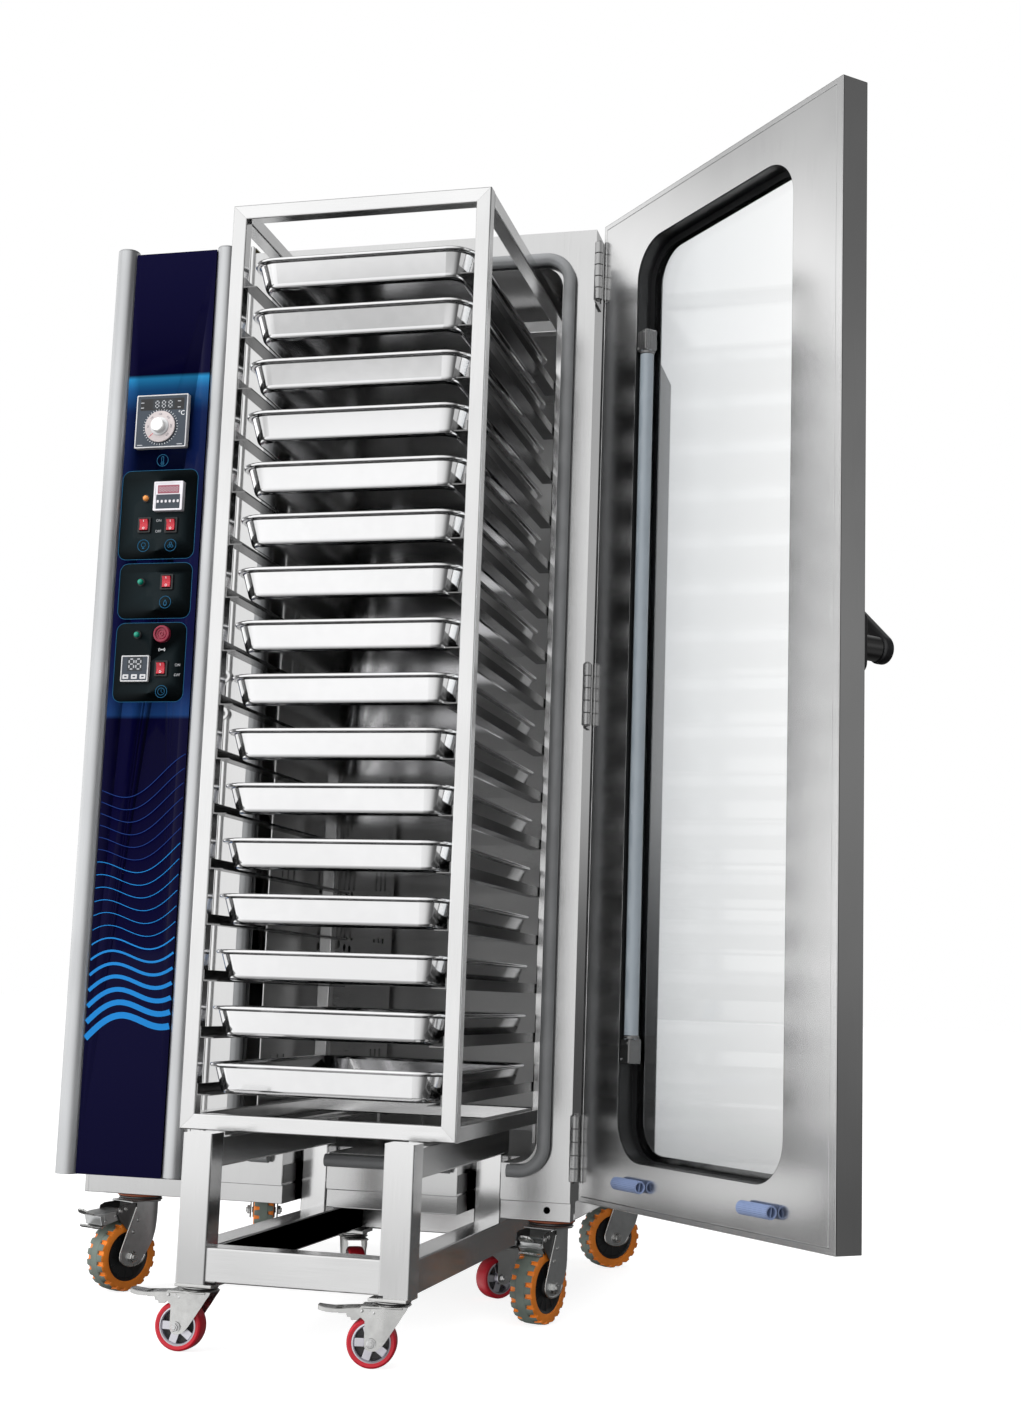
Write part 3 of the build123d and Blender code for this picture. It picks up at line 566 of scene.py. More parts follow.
front = mixedSky(1.0, glow.outputs[0], band("front"), "MULTIPLY")
around = mixedSky(towards("Y", 0.25, 0.8), front, band("back"))
around = mixedSky(towards("X", -0.68, -0.84), around, band("left"))
around = mixedSky(towards("X", 0.62, 0.86), around, band("right"))
soft = addNode(sky, "Background", Strength=1.0)
sky.links.new(around, soft.inputs[0])
paper = addNode(sky, "Background", Strength=studio["paper"])
paper.inputs["Color"].default_value = (1, 1, 1, 1)
path = addNode(sky, "LightPath")
seen = addNode(sky, "Math", operation="MAXIMUM")
sky.links.new(path.outputs["Is Camera Ray"], seen.inputs[0])
sky.links.new(path.outputs["Is Transmission Ray"], seen.inputs[1])
choose = addNode(sky, "MixShader")
wire(sky, seen, choose)
wire(sky, soft, choose, into=1)
wire(sky, paper, choose, into=2)
output = addNode(sky, "OutputWorld")
wire(sky, choose, output)


def softBox(name, position, target, wide, high, power, shine=True):
    lamp = bpy.data.lights.new(name, "AREA")
    lamp.shape = "RECTANGLE"
    lamp.size, lamp.size_y = wide, high
    lamp.energy = power
    box = bpy.data.objects.new(name, lamp)
    scene.collection.objects.link(box)
    box.location = position
    box.rotation_euler = (Vector(target) - Vector(position)).to_track_quat("-Z", "Y").to_euler()
    box.visible_glossy = shine
    return box


softBox("keyBox", (-2.6, -3.2, 2.6), (0, 0, 1.0), 2.2, 2.6, studio["keyPower"], shine=False)
softBox("topBox", (0.2, -0.6, 4.2), (0, 0, 0), 5.0, 5.0, studio["topPower"], shine=False)
softBox("fillBox", (2.2, -3.4, 1.2), (0.2, 0, 0.8), 1.6, 2.0, studio["fillPower"], shine=False)

floorMaterial, floorTree, floorShader = startMaterial("paperFloor", (0.30, 0.30, 0.30), 0.0, 0.9)
floorCloud = noise(floorTree, (1, 1, 1), Scale=0.8, Detail=1.0)
floorTint = ramp(floorTree, [(0.3, (0.44, 0.44, 0.44)), (0.7, (0.45, 0.45, 0.45))])
wire(floorTree, floorCloud, floorTint)
wire(floorTree, floorTint, floorShader, into="Base Color")
wire(floorTree, floorTint, floorShader, into="Emission Color")
floorShader.inputs["Emission Strength"].default_value = studio["floorGlow"]
floorShape = bmesh.new()
bmesh.ops.create_grid(floorShape, x_segments=2, y_segments=2, size=60)
floorMesh = bpy.data.meshes.new("floor")
floorShape.to_mesh(floorMesh)
floorShape.free()
floorMesh.materials.append(floorMaterial)
floor = bpy.data.objects.new("floor", floorMesh)
scene.collection.objects.link(floor)
floor.location = (0, 0, -0.0005)
floor.visible_glossy = floor.visible_diffuse = False
print("camera, light and floor ready")


# Rack: square tube frames with angle guides
rack = {"half": 228.5, "front": -369.0, "deep": 635.0, "low": 324.0, "high": 1874.0, "tube": 25.0, "corner": 2.2,
        "seam": 0.12,
        "guideHigh": 18.0, "guideWide": 24.0, "guideSheet": 2.0, "runner": {"x": 160, "half": 8, "low": 320.15}}
tray = {"count": 16, "first": 429.5, "pitch": 89.9, "high": 49.7, "front": -366.0, "back": 232.0, "half": 199.0,
        "bead": 3.2, "sheet": 1.1,
        "lean": 17.5, "foot": 11.0, "corner": 46}


def frameLoop(y):
    t, s = rack["tube"] / 2, rack["seam"]
    x, low, high = rack["half"] - t, rack["low"] + t, rack["high"] - t
    shape = (2 * t, 2 * t, rack["corner"], 1)
    up = [boxTube((side * x, y, low + s), (side * x, y, high - s), (-side, 0, 0), *shape) for side in (-1, 1)]
    flat = [boxTube((-x + s, y, z), (x - s, y, z), (0, 0, 1 if z == low else -1), *shape,
                    finish=1) for z in (low, high)]
    return up + flat


def guidePair():
    inner = rack["half"] - rack["tube"] - 0.1
    g, w, h = rack["guideSheet"], rack["guideWide"], rack["guideHigh"]
    section = [(0, 0), (w, 0), (w, g), (g + 1.5, g), (g + 0.4, g + 0.4), (g, g + 1.5), (g, h), (0, h)]
    pair = []
    for side in (-1, 1):
        ends = [[(side * (inner - u), y, v) for u, v in section] for y in (rack["front"] + 2,
                                                                           rack["front"] + rack["deep"] - 2)]
        pair.append(toMesh(skinned(ends)))
    return joined(*pair)


def rackFrame():
    t = rack["tube"] / 2
    front, back = rack["front"], rack["front"] + rack["deep"]
    parts = frameLoop(front + t) + frameLoop(back - t)
    for x in (-rack["half"] + t, rack["half"] - t):
        for z in (rack["low"] + t, rack["high"] - t):
            parts.append(boxTube((x, front + 2 * t + 0.1, z), (x, back - 2 * t - 0.1, z), alongX, 2 * t, 2 * t,
                                 rack["corner"], finish=2))
    runner = rack["runner"]
    parts.append(blocks(*((x - runner["half"], x + runner["half"], front + 6, back - 6, runner["low"],
                           rack["low"] + 0.1)
                          for x in (-runner["x"], runner["x"])), finish=2))
    lowest = moved(guidePair(), at(0, 0, tray["first"] - 50 - 2))
    parts.append(repeated(lowest, tray["count"], step=(0, 0, tray["pitch"]), index=3))
    settle("rackFrameFine", joined(*parts), [tubeSteel, crossSteel, railSteel, guideSteel], "rack", ["rack_frame"])


rackFrame()


# Drawn pan: rolled bead, slightly leaning walls, rounded bottom edge
def trayShell():
    hx, hy = tray["half"], (tray["back"] - tray["front"]) / 2
    b, s, h, foot = tray["bead"], tray["sheet"], tray["high"], tray["foot"]
    centre = tray["lean"] + foot

    def footArc(radius, angles):
        return [(centre - radius * math.sin(math.radians(a)),
                 -h + foot - radius * math.cos(math.radians(a))) for a in angles]

    # Pairs of the inset from the bead's outside and the height below the rim
    stations = [(centre, -h)] + footArc(foot, (20, 40, 60, 78))
    stations += [(2 * b + 2.4, -2 * b - 1.5), (2 * b + 1.0, -2 * b)]
    stations += [(b + b * math.cos(math.radians(a)), -b + b * math.sin(math.radians(a))) for a in (-60, -100, -140,
                                                                                                   -180, -220, -260, 60, 25)]
    stations += [(2 * b + 0.6, -b * 1.2), (2 * b + 2.0, -2 * b)]
    stations += footArc(foot - s, (80, 60, 40, 20)) + [(centre, -h + s)]
    middle = (tray["front"] + tray["back"]) / 2
    rings = []
    for inset, z in stations:
        loop = roundedLoop(hx - inset, hy - inset, max(14, tray["corner"] - inset * 0.75), 7)
        rings.append([(x, middle + y, z) for x, y in loop])
    return toMesh(skinned(rings))


shell = trayShell()
for number in range(tray["count"]):
    rim = tray["first"] + number * tray["pitch"]
    settle(f"trayFine{number + 1:02d}", copied(shell, at(0, 0, rim)), [traySteel], f"tray_{number + 1:02d}_body",
           [f"tray_{number + 1:02d}"], crisp=50, merge=False)
print("rack and trays made")


# Control column: profiles, printed fascia and instruments
column = {"low": 205.0, "high": 1967.0, "leftX": -603.5, "leftRadius": 21.0, "rightX": -396.0, "rightRadius": 19.0,
          "y": -3.0, "wall": 3.0}


# Round extrusion with a capped top, a tongue groove beside the fascia and an open foot
def profilePost(x, radius, low, high, grooveSide):
    outer = []
    for i in range(56):
        a = 2 * math.pi * i / 56
        away = abs((a - (0 if grooveSide > 0 else math.pi) + math.pi) % (2 * math.pi) - math.pi)
        r = radius - (1.6 if 0.28 < away < 0.42 else 0.0)
        outer.append((x + r * math.cos(a), column["y"] + r * math.sin(a)))
    inner = ringLoop(x, column["y"], radius - column["wall"], 40)
    tube = moved(cutSheet([outer, inner], high - low - 3, 0.5), at(0, 0, (high + low - 3) / 2))
    cap = lathe([(0, 0), (radius - 0.4, 0), (radius, 0.5), (radius, 1.6), (radius - 0.8, 2.6), (radius - 3, 3.0),
                 (0, 3.0)], (x, column["y"], high - 3), alongZ, 56)
    return joined(tube, tinted(cap, 0))


settle("columnProfilesFine", joined(profilePost(column["leftX"], column["leftRadius"], column["low"], column["high"],
                                                1),
                                    profilePost(column["rightX"], column["rightRadius"], column["low"] + 3,
                                                column["high"] - 6, -1)),
       [profileMetal], "oven", ["column_profiles"], crisp=24)

fascia = {"left": -582.2, "right": -415.3, "front": -12.0, "low": 206.0, "high": 1957.0, "glowTop": 1707.0,
          "glowLow": 1042.0}


# Dark blue film: a lit zone that starts hard at the top and fades, and a hard foot
def fasciaFilm():
    material, tree, shader = startMaterial("fasciaFilm", (0.0015, 0.001, 0.02), 0.0, 0.16)
    place = addNode(tree, "TexCoord")
    parts = addNode(tree, "SeparateXYZ")
    wire(tree, place, parts, out="Object")
    height = mapped(tree, parts, 0.0, 2.0, out="Z")
    navy = (0.0012, 0.0008, 0.019)
    low, top = fascia["glowLow"], fascia["glowTop"]
    stops = [(0, navy), (low - 1.5, navy), (low, (0.008, 0.035, 0.125)), (low + 60, (0.0025, 0.008, 0.05)),
             (low + 160, (0.0015, 0.002, 0.03)), (top - 260, (0.0016, 0.0028, 0.028)),
             (top - 70, (0.003, 0.010, 0.052)),
             (top - 25, (0.009, 0.066, 0.19)), (top - 2, (0.016, 0.19, 0.40)), (top, navy), (2000, navy)]
    glow = ramp(tree, [(z / 2000.0, colour) for z, colour in stops])
    wire(tree, height, glow, out="Result")
    wire(tree, glow, shader, into="Base Color")
    bumped(tree, noise(tree, (1, 1, 1), Scale=500.0, Detail=2.0), shader, 0.03, 0.0002)
    shader.inputs["Specular IOR Level"].default_value = 0.05
    return material


def flatInk(name, colour, roughness=0.3):
    return mouldedSkin(name, colour, roughness, depth=0.02, cloud=0.05, shine=0.1)


filmBlue = fasciaFilm()
inkBlue = flatInk("inkBlue", (0.012, 0.20, 0.55))
inkDim = flatInk("inkDim", (0.006, 0.03, 0.16))
inkIcon = flatInk("inkIcon", (0.010, 0.085, 0.17))
panelBlack = flatInk("panelBlack", (0.006, 0.011, 0.013), 0.42)
slate = flatInk("slate", (0.055, 0.065, 0.08), 0.35)
palePlastic = mouldedSkin("palePlastic", (0.55, 0.55, 0.56), 0.3, depth=0.05, coat=0.2)
frameWhite = mouldedSkin("frameWhite", (0.72, 0.70, 0.74), 0.32, depth=0.05, coat=0.2)
dialClear = mouldedSkin("dialClear", (0.46, 0.41, 0.41), 0.25, depth=0.05, coat=0.2)
knobWhite = mouldedSkin("knobWhite", (0.86, 0.86, 0.85), 0.25, depth=0.04, coat=0.3)
glassDark = flatInk("glassDark", (0.045, 0.05, 0.055), 0.12)
glassRed = flatInk("glassRed", (0.30, 0.10, 0.13), 0.15)
digitGrey = flatInk("digitGrey", (0.42, 0.43, 0.45), 0.3)
pointerRed = flatInk("pointerRed", (0.55, 0.05, 0.06), 0.3)
fasciaFinishes = [filmBlue, inkBlue, inkDim, inkIcon, panelBlack, slate, palePlastic, frameWhite, glassDark, glassRed,
                  digitGrey, whitePrint,
                  lensOrange, lensGreen, buzzerRed, blackPlasticAndShade]
(film, blueInk, dimInk, iconInk, blackInk, slateInk, paleInk, whiteFrame, darkGlass, redGlass, greyDigit, whiteInk,
 orangeLens, greenLens, redBuzzer, blackCase) = range(len(fasciaFinishes))


# Printed shapes: a skin a tenth of a millimetre proud of what they are printed on
def printed(loops, front, finish, thick=0.12):
    return tinted(stoodSheet(loops, thick, front - thick), finish)


def outlineLoops(x, z, halfWide, halfHigh, corner, line):
    return [loopAt(x, z, halfWide, halfHigh, corner, 6),
            loopAt(x, z, halfWide - line, halfHigh - line, max(0.5, corner - line), 6)]


def strokeLoop(points, width):
    left, right = [], []
    for i, (x, y) in enumerate(points):
        ax, ay = points[max(0, i - 1)]
        bx, by = points[min(len(points) - 1, i + 1)]
        size = math.hypot(bx - ax, by - ay) or 1
        nx, ny = -(by - ay) / size * width / 2, (bx - ax) / size * width / 2
        left.append((x + nx, y + ny))
        right.append((x - nx, y - ny))
    return left + right[::-1]


# Upright lettering from Blender's own typeface, only for generic marks
def lettering(text, x, z, high, front, finish):
    curve = bpy.data.curves.new("mark", "FONT")
    curve.body = text
    curve.size = high * 1.38
    curve.align_x = "CENTER"
    curve.align_y = "CENTER"
    curve.extrude = 0.06
    curve.resolution_u = 2
    holder = bpy.data.objects.new("mark", curve)
    scene.collection.objects.link(holder)
    bpy.context.view_layer.update()
    mesh = bpy.data.meshes.new_from_object(holder.evaluated_get(bpy.context.evaluated_depsgraph_get()))
    bpy.data.objects.remove(holder)
    return tinted(moved(mesh, at(x, front - 0.06, z) @ standUp), finish)


# The long lower field holds plain rising waves in blue, broad at the foot and fine at the top
waves = {"count": 19, "bright": 13, "low": 448, "step": 25, "swing": 24, "lag": 0.16, "rise": 52.0, "broad": 11.5,
         "taper": 1.5, "fine": 1.3}
boxes = ((-503.0, 1432.5, 78, 87.5), (-499.5, 1284, 74.5, 54), (-501, 1147, 72, 76))
rockers = {"light": (-529.0, 1412.0), "fan": (-474.0, 1410.5), "steam": (-475.3, 1300.3), "timer": (-475.8, 1134.3)}
rockerHoles = {name: loopAt(x, z, 10, 12.5, 0.5, 2) for name, (x, z) in rockers.items()}
overprint = fascia["front"] - 0.08  # on top of the printed boxes


def waveField():
    parts = []
    for i in range(waves["count"]):
        points = []
        for k in range(41):
            x = fascia["left"] + 1.5 + (fascia["right"] - fascia["left"] - 3) * k / 40
            swing = waves["swing"] * math.sin(k / 40 * math.pi * 1.5 + i * waves["lag"])
            points.append((x, waves["low"] + i * waves["step"] + swing + k * waves["rise"] / 40))
        wide = max(waves["fine"], waves["broad"] - i * waves["taper"])
        parts.append(printed([strokeLoop(points, wide)], fascia["front"], blueInk if i < waves["bright"] else dimInk))
    return parts


def printedBoxes():
    parts = []
    for x, z, wide, high in boxes:
        holes = [hole for name, hole in rockerHoles.items() if abs(rockers[name][1] - z) < high]
        parts.append(printed([loopAt(x, z, wide, high, 17, 6)] + holes, fascia["front"], blackInk, 0.08))
        parts.append(printed(outlineLoops(x, z, wide, high, 17, 0.9), overprint, iconInk))
    return parts


# Round pictograms: a ring, with a simple sign inside
def pictogram(kind, x, z):
    def ring(dx, dz, radius, line, steps):
        return [ringLoop(x + dx, z + dz, radius, steps), ringLoop(x + dx, z + dz, radius - line, steps)]

    signs = [ring(0, 0, 12.0, 1.1, 40)]
    if kind == "warmth":
        signs += [[loopAt(x, z + 0.8, 2.6, 7.4, 2.6, 4), loopAt(x, z + 0.8, 1.5, 6.2, 1.5, 4)],
                  ring(0, -6, 3.6, 1.2, 20)]
    elif kind == "light":
        signs += [ring(0, 1.5, 4.6, 1.1, 24), [loopAt(x, z - 5, 2.2, 1.1, 0.5, 2)]]
    elif kind == "fan":
        for i in range(3):
            a = math.radians(90 + 120 * i)
            signs.append(ring(3.6 * math.cos(a), 3.6 * math.sin(a), 2.9, 1.0, 18))
    elif kind == "steam":
        drop = [(x + 4.6 * math.sin(t) * math.sin(t / 2),
                 z - 1 + 6.2 * math.cos(t)) for t in (2 * math.pi * i / 28 for i in range(28))]
        signs.append([drop, [(x + (px - x) * 0.66, z - 1.6 + (pz - z + 1.6) * 0.66) for px, pz in drop]])
    else:
        signs += [ring(0, 0, 7.2, 1.0, 30), [strokeLoop([(x, z + 4.6), (x, z), (x + 3.0, z - 2.4)], 1.0)]]
    return [printed(sign, overprint, iconInk) for sign in signs]


# Seven-bar digits, all bars lit grey, as on a display that is off
def digits(count, x, z, high, pitch, front, finish):
    wide, bar = high * 0.5, high * 0.13
    parts = []
    for i in range(count):
        cx = x + (i - (count - 1) / 2) * pitch
        for dz in (high / 2, 0, -high / 2):
            parts.append(printed([loopAt(cx, z + dz, wide / 2 - bar * 0.7, bar / 2, bar / 2.1, 2)], front, finish))
        for dx in (-wide / 2, wide / 2):
            for dz in (high / 4, -high / 4):
                parts.append(printed([loopAt(cx + dx, z + dz, bar / 2, high / 4 - bar * 0.7, bar / 2.1, 2)], front,
                                     finish))
    return parts


# Square cases: a bezel rounded all round, with a sunk face
cases = {
    "controller": {"left": -556.5, "right": -450.5, "low": 1561, "high": 1666, "deep": 12, "rim": 2.4,
                   "display": (-500.5, 1647)},
    "timer": {"left": -509.5, "right": -450, "low": 1437, "high": 1494, "deep": 12, "rim": 3.6,
              "display": (-479.7, 1478.5)},
    "counter": {"left": -555.5, "right": -499.5, "low": 1109, "high": 1159, "deep": 8, "rim": 2.6,
                "display": (-527.5, 1142.5)}}
dialPlace = {"x": -504.6, "z": 1602.0, "ticks": 40, "tickRadius": 34.4, "zeroDegrees": 225, "markRadius": 23.8}


def instrumentCase(kind, bezel, face):
    case = cases[kind]
    x, z = (case["left"] + case["right"]) / 2, (case["low"] + case["high"]) / 2
    w, h = (case["right"] - case["left"]) / 2, (case["high"] - case["low"]) / 2
    front = fascia["front"] - case["deep"]
    rim = stoodSheet([loopAt(x, z, w, h, 2.0, 4), loopAt(x, z, w - case["rim"], h - case["rim"], 1.2, 4)],
                     case["deep"] - 0.1, front, 0.7, 2)
    plate = stoodSheet([loopAt(x, z, w - 0.4, h - 0.4, 1.6, 4)], case["deep"] - 1.2, front + 0.9, 0.2)
    return [tinted(rim, bezel), tinted(plate, face)], front + 0.9, *case["display"]


def controller():
    parts, face, x, z = instrumentCase("controller", paleInk, slateInk)
    parts.append(printed([loopAt(x - 3, z, 45, 11.5, 1.0, 3)], face, blackCase))
    parts.append(printed([loopAt(x, z, 22, 9.5, 0.8, 3)], face - 0.12, darkGlass))
    parts += digits(3, x, z, 13, 13.5, face - 0.24, greyDigit)
    for dx, dz in ((-40, 4), (-40, -6), (36, 5), (36, -7)):
        parts.append(printed([loopAt(dialPlace["x"] + dx, z + dz, 3.2, 0.8, 0.3, 2)], face - 0.12, greyDigit))
    parts.append(lettering("°C", -463, 1628, 9, face, whiteInk))
    for dx in (-41, 41):
        parts.append(printed([loopAt(dialPlace["x"] + dx, cases["controller"]["low"] + 6, 5.4, 0.9, 0.3, 2)], face,
                             greyDigit))
    tick = moved(stoodSheet([roundedLoop(0.35, 1.6, 0.3, 2)], 0.12, -0.06), at(0, 0, dialPlace["tickRadius"]))
    ticks = repeated(tick, dialPlace["ticks"], turnDegrees=(0, 360 / dialPlace["ticks"], 0), index=whiteInk)
    parts.append(moved(ticks, at(dialPlace["x"], face - 0.06, dialPlace["z"])))
    return parts


def timerBox():
    parts, face, x, z = instrumentCase("timer", whiteFrame, whiteFrame)
    parts.append(printed([loopAt(x, z, 22, 8.2, 1.0, 3)], face, redGlass))
    parts += digits(6, x, z, 9, 6.8, face - 0.12, greyDigit)
    parts.append(printed([loopAt(x, z - 24.5, 24.5, 14.5, 1.0, 3)], face, slateInk))
    button = stoodSheet([loopAt(x - 20.5, z - 23.5, 2.1, 2.6, 1.2, 3)], 0.9, face - 0.9, 0.2)
    parts.append(repeated(button, 6, step=(8.2, 0, 0), index=whiteFrame))
    return parts


def counterBox():
    parts, face, x, z = instrumentCase("counter", paleInk, slateInk)
    parts.append(printed([loopAt(x, z, 15.5, 13.5, 0.8, 3)], face, darkGlass))
    parts += digits(2, x, z, 19, 14, face - 0.12, greyDigit)
    key = stoodSheet([loopAt(x - 17.5, z - 24, 6.0, 4.4, 1.2, 3)], 0.9, face - 0.9, 0.25)
    parts.append(repeated(key, 3, step=(17.5, 0, 0), index=paleInk))
    for i in (-1, 0, 1):
        parts.append(printed([loopAt(x + 17.5 * i, z - 24, 2.6, 1.3, 0.4, 2)], face - 0.9, slateInk))
    return parts


def rockerFrame(x, z):
    inside = loopAt(x, z, 8.9, 12.1, 0.8, 3)
    return [tinted(stoodSheet([loopAt(x, z, 13, 15, 1.6, 3), inside], 3.9, fascia["front"] - 4, 0.5, 2), blackCase),
            tinted(stoodSheet([inside], 0.4, fascia["front"] + 2.4), blackCase)]


def pilotLamp(x, z, finish):
    place = (x, fascia["front"], z)
    bezel = lathe([(0, 0.1), (8, 0.1), (8, 1.2), (7.2, 2.0), (5.6, 2.0), (5.6, 0.6), (0, 0.6)], place, outwards, 32)
    dome = [(5.5 * math.cos(math.radians(a)), 4.6 + 4.9 * math.sin(math.radians(a))) for a in (20, 40, 60, 78)]
    lens = lathe([(0, 0.6), (5.5, 0.6), (5.5, 4.6)] + dome + [(0, 9.6)], place, outwards, 28)
    return [tinted(bezel, blackCase), tinted(lens, finish)]


def buzzerFace(x, z):
    body = lathe([(0, 0.1), (16.5, 0.1), (16.5, 6.5), (15.6, 8.2), (13.6, 9.0), (12.2, 8.4), (11.6, 5.6), (9.6, 5.0),
                  (9.2, 6.4), (7.8, 6.8),
                  (7.2, 5.2), (4.6, 5.0), (4.2, 6.6), (2.6, 7.0), (2.2, 5.4), (0, 5.2)], (x, fascia["front"], z),
                  outwards, 40)
    arcs = []
    for r in (3.2, 6.2):
        for start in (-35, 145):
            turns = [math.radians(start + t) for t in range(0, 71, 10)]
            points = [(x + r * math.cos(a), z - 29 + r * 0.9 * math.sin(a)) for a in turns]
            arcs.append(printed([strokeLoop(points, 0.9)], overprint, whiteInk))
    arcs.append(printed([ringLoop(x, z - 29, 1.2, 14)], overprint, whiteInk))
    return [tinted(body, redBuzzer)] + arcs


panelPlaces = {
    "buzzer": (-477.7, 1199.9),
    "lamps": ((-529.0, 1464.3, orangeLens), (-528.8, 1301.2, greenLens), (-529.3, 1199.7, greenLens)),
    "pictograms": (("warmth", -501, 1539), ("light", -529.5, 1372.5), ("fan", -474, 1372), ("steam", -477.5, 1262),
                   ("clock", -474, 1091)),
    "marks": (("ON", -501, 1420.5), ("OFF", -501, 1399.5), ("ON", -444, 1141), ("OFF", -444, 1122))}


def controlPanel():
    sheet = boxLoop(fascia["left"], fascia["right"], fascia["low"], fascia["high"], 0.6, 2)
    parts = [tinted(stoodSheet([sheet, *rockerHoles.values()], 3.0, fascia["front"]), film)]
    parts += waveField() + printedBoxes() + controller() + timerBox() + counterBox() + buzzerFace(*panelPlaces["buzzer"])
    for x, z in rockers.values():
        parts += rockerFrame(x, z)
    for lamp in panelPlaces["lamps"]:
        parts += pilotLamp(*lamp)
    for sign in panelPlaces["pictograms"]:
        parts += pictogram(*sign)
    for text, x, z in panelPlaces["marks"]:
        parts.append(lettering(text, x, z, 5.2, overprint, greyDigit))
    settle("controlPanelFine", joined(*parts), fasciaFinishes, "oven", ["control_panel"], crisp=30)


controlPanel()


# Dial: clear skirt with numbers, grip ring and a white knob
def dial():
    x, z, front = dialPlace["x"], dialPlace["z"], fascia["front"] - cases["controller"]["deep"]
    skirt = lathe([(0, 0.4), (30.4, 0.4), (31, 0.9), (31, 2.4), (30.2, 3.1), (26.5, 3.4), (0, 3.4)], (x, front, z),
                  outwards, 64)
    grip = lathe([(0, 3.3), (18.6, 3.3), (18.0, 5.2), (16.5, 6.0), (0, 6.0)], (x, front, z), outwards, 48)
    knob = lathe([(0, 5.9), (12.5, 5.9), (12.5, 14.6), (11.9, 16.2), (10.6, 16.9), (0, 16.9)], (x, front, z),
                 outwards, 48)
    shaft = lathe([(0, -10.8), (4, -10.8), (4, 0.5), (0, 0.5)], (x, front, z), outwards, 24)
    parts = [tinted(skirt, 0), tinted(grip, 2), tinted(knob, 1), tinted(shaft, 2)]
    rib = moved(stoodSheet([roundedLoop(0.5, 1.4, 0.4, 2)], 8.0, -8.0, 0.15), at(0, 0, 12.0))
    parts.append(moved(repeated(rib, 30, turnDegrees=(0, 12, 0), index=1), at(x, front - 7.5, z)))
    for i, text in enumerate(("0", "50", "100", "150", "200", "250", "300")):
        a = math.radians(dialPlace["zeroDegrees"] - i * 45)
        mark = moved(lettering(text, 0, 0, 3.6, 0, 3), Matrix.Rotation(math.radians(90) - a, 4, "Y"))
        radius = dialPlace["markRadius"]
        parts.append(moved(mark, at(x + radius * math.cos(a), front - 3.4, z + radius * math.sin(a))))
    zero = math.radians(dialPlace["zeroDegrees"])
    hand = [strokeLoop([(x + r * math.cos(zero), z + r * math.sin(zero)) for r in (13.5, 21, 29.5)], 1.0)]
    parts.append(printed(hand, front - 3.42, 4))
    settle("dialFine", joined(*parts), [dialClear, knobWhite, palePlastic, slate, pointerRed], "dial",
           ["temperature_dial"], crisp=35)


dial()


# Rocker: bowed red key with a raised bar and ring
def rockerKey(name, x, z):
    f = fascia["front"]
    outline = [(f - 0.5, -8.0), (f - 5.1, -10.5), (f - 6.5, -10.1), (f - 5.7, -6.0), (f - 5.4, -1.0), (f - 5.9, 4.0),
               (f - 8.6, 10.3),
               (f - 7.2, 10.7), (f - 0.5, 8.0)]
    ends = [[(x + dx, y, z + up) for y, up in outline] for dx in (-8.3, 8.3)]
    key = toMesh(skinned(ends), round=0.5, steps=2, limit=25)
    tilt = at(0, f - 7.35, z + 7.3) @ spun(23, "X")
    bar = moved(cutSheet([loopAt(x, 0, 0.5, 2.1, 0.4, 2)], 0.3), tilt @ standUp)
    lean = at(0, f - 6.1, z - 6.6) @ spun(-9, "X")
    ring = moved(cutSheet([ringLoop(x, 0, 2.3, 20), ringLoop(x, 0, 1.6, 20)], 0.3), lean @ standUp)
    settle(name + "RockerFine", joined(key, tinted(bar, 1), tinted(ring, 1)), [rockerRed, whitePrint],
           name + "_switch", [name + "_rocker"], crisp=40)


for name, (x, z) in rockers.items():
    rockerKey(name, x, z)
print("control column made")


# Door, drawn shut and turned open about its hinge pins
door = {"left": -340.0, "right": 334.8, "low": 212.0, "high": 1946.0, "inner": -25.2, "thick": 47.0, "sheet": 2.0,
        "lipFree": 15.0, "lip": 8.0,
        "windowHalf": 220.0, "windowLow": 291.0, "windowHigh": 1869.0, "windowCorner": 68.0}
door["outer"] = door["inner"] - door["thick"]


def windowLoop(grow, left=0.0, right=0.0):
    d = door
    return boxLoop(-d["windowHalf"] - grow + left, d["windowHalf"] + grow - right, d["windowLow"] - grow,
                   d["windowHigh"] + grow,
                   d["windowCorner"] + grow, 14)


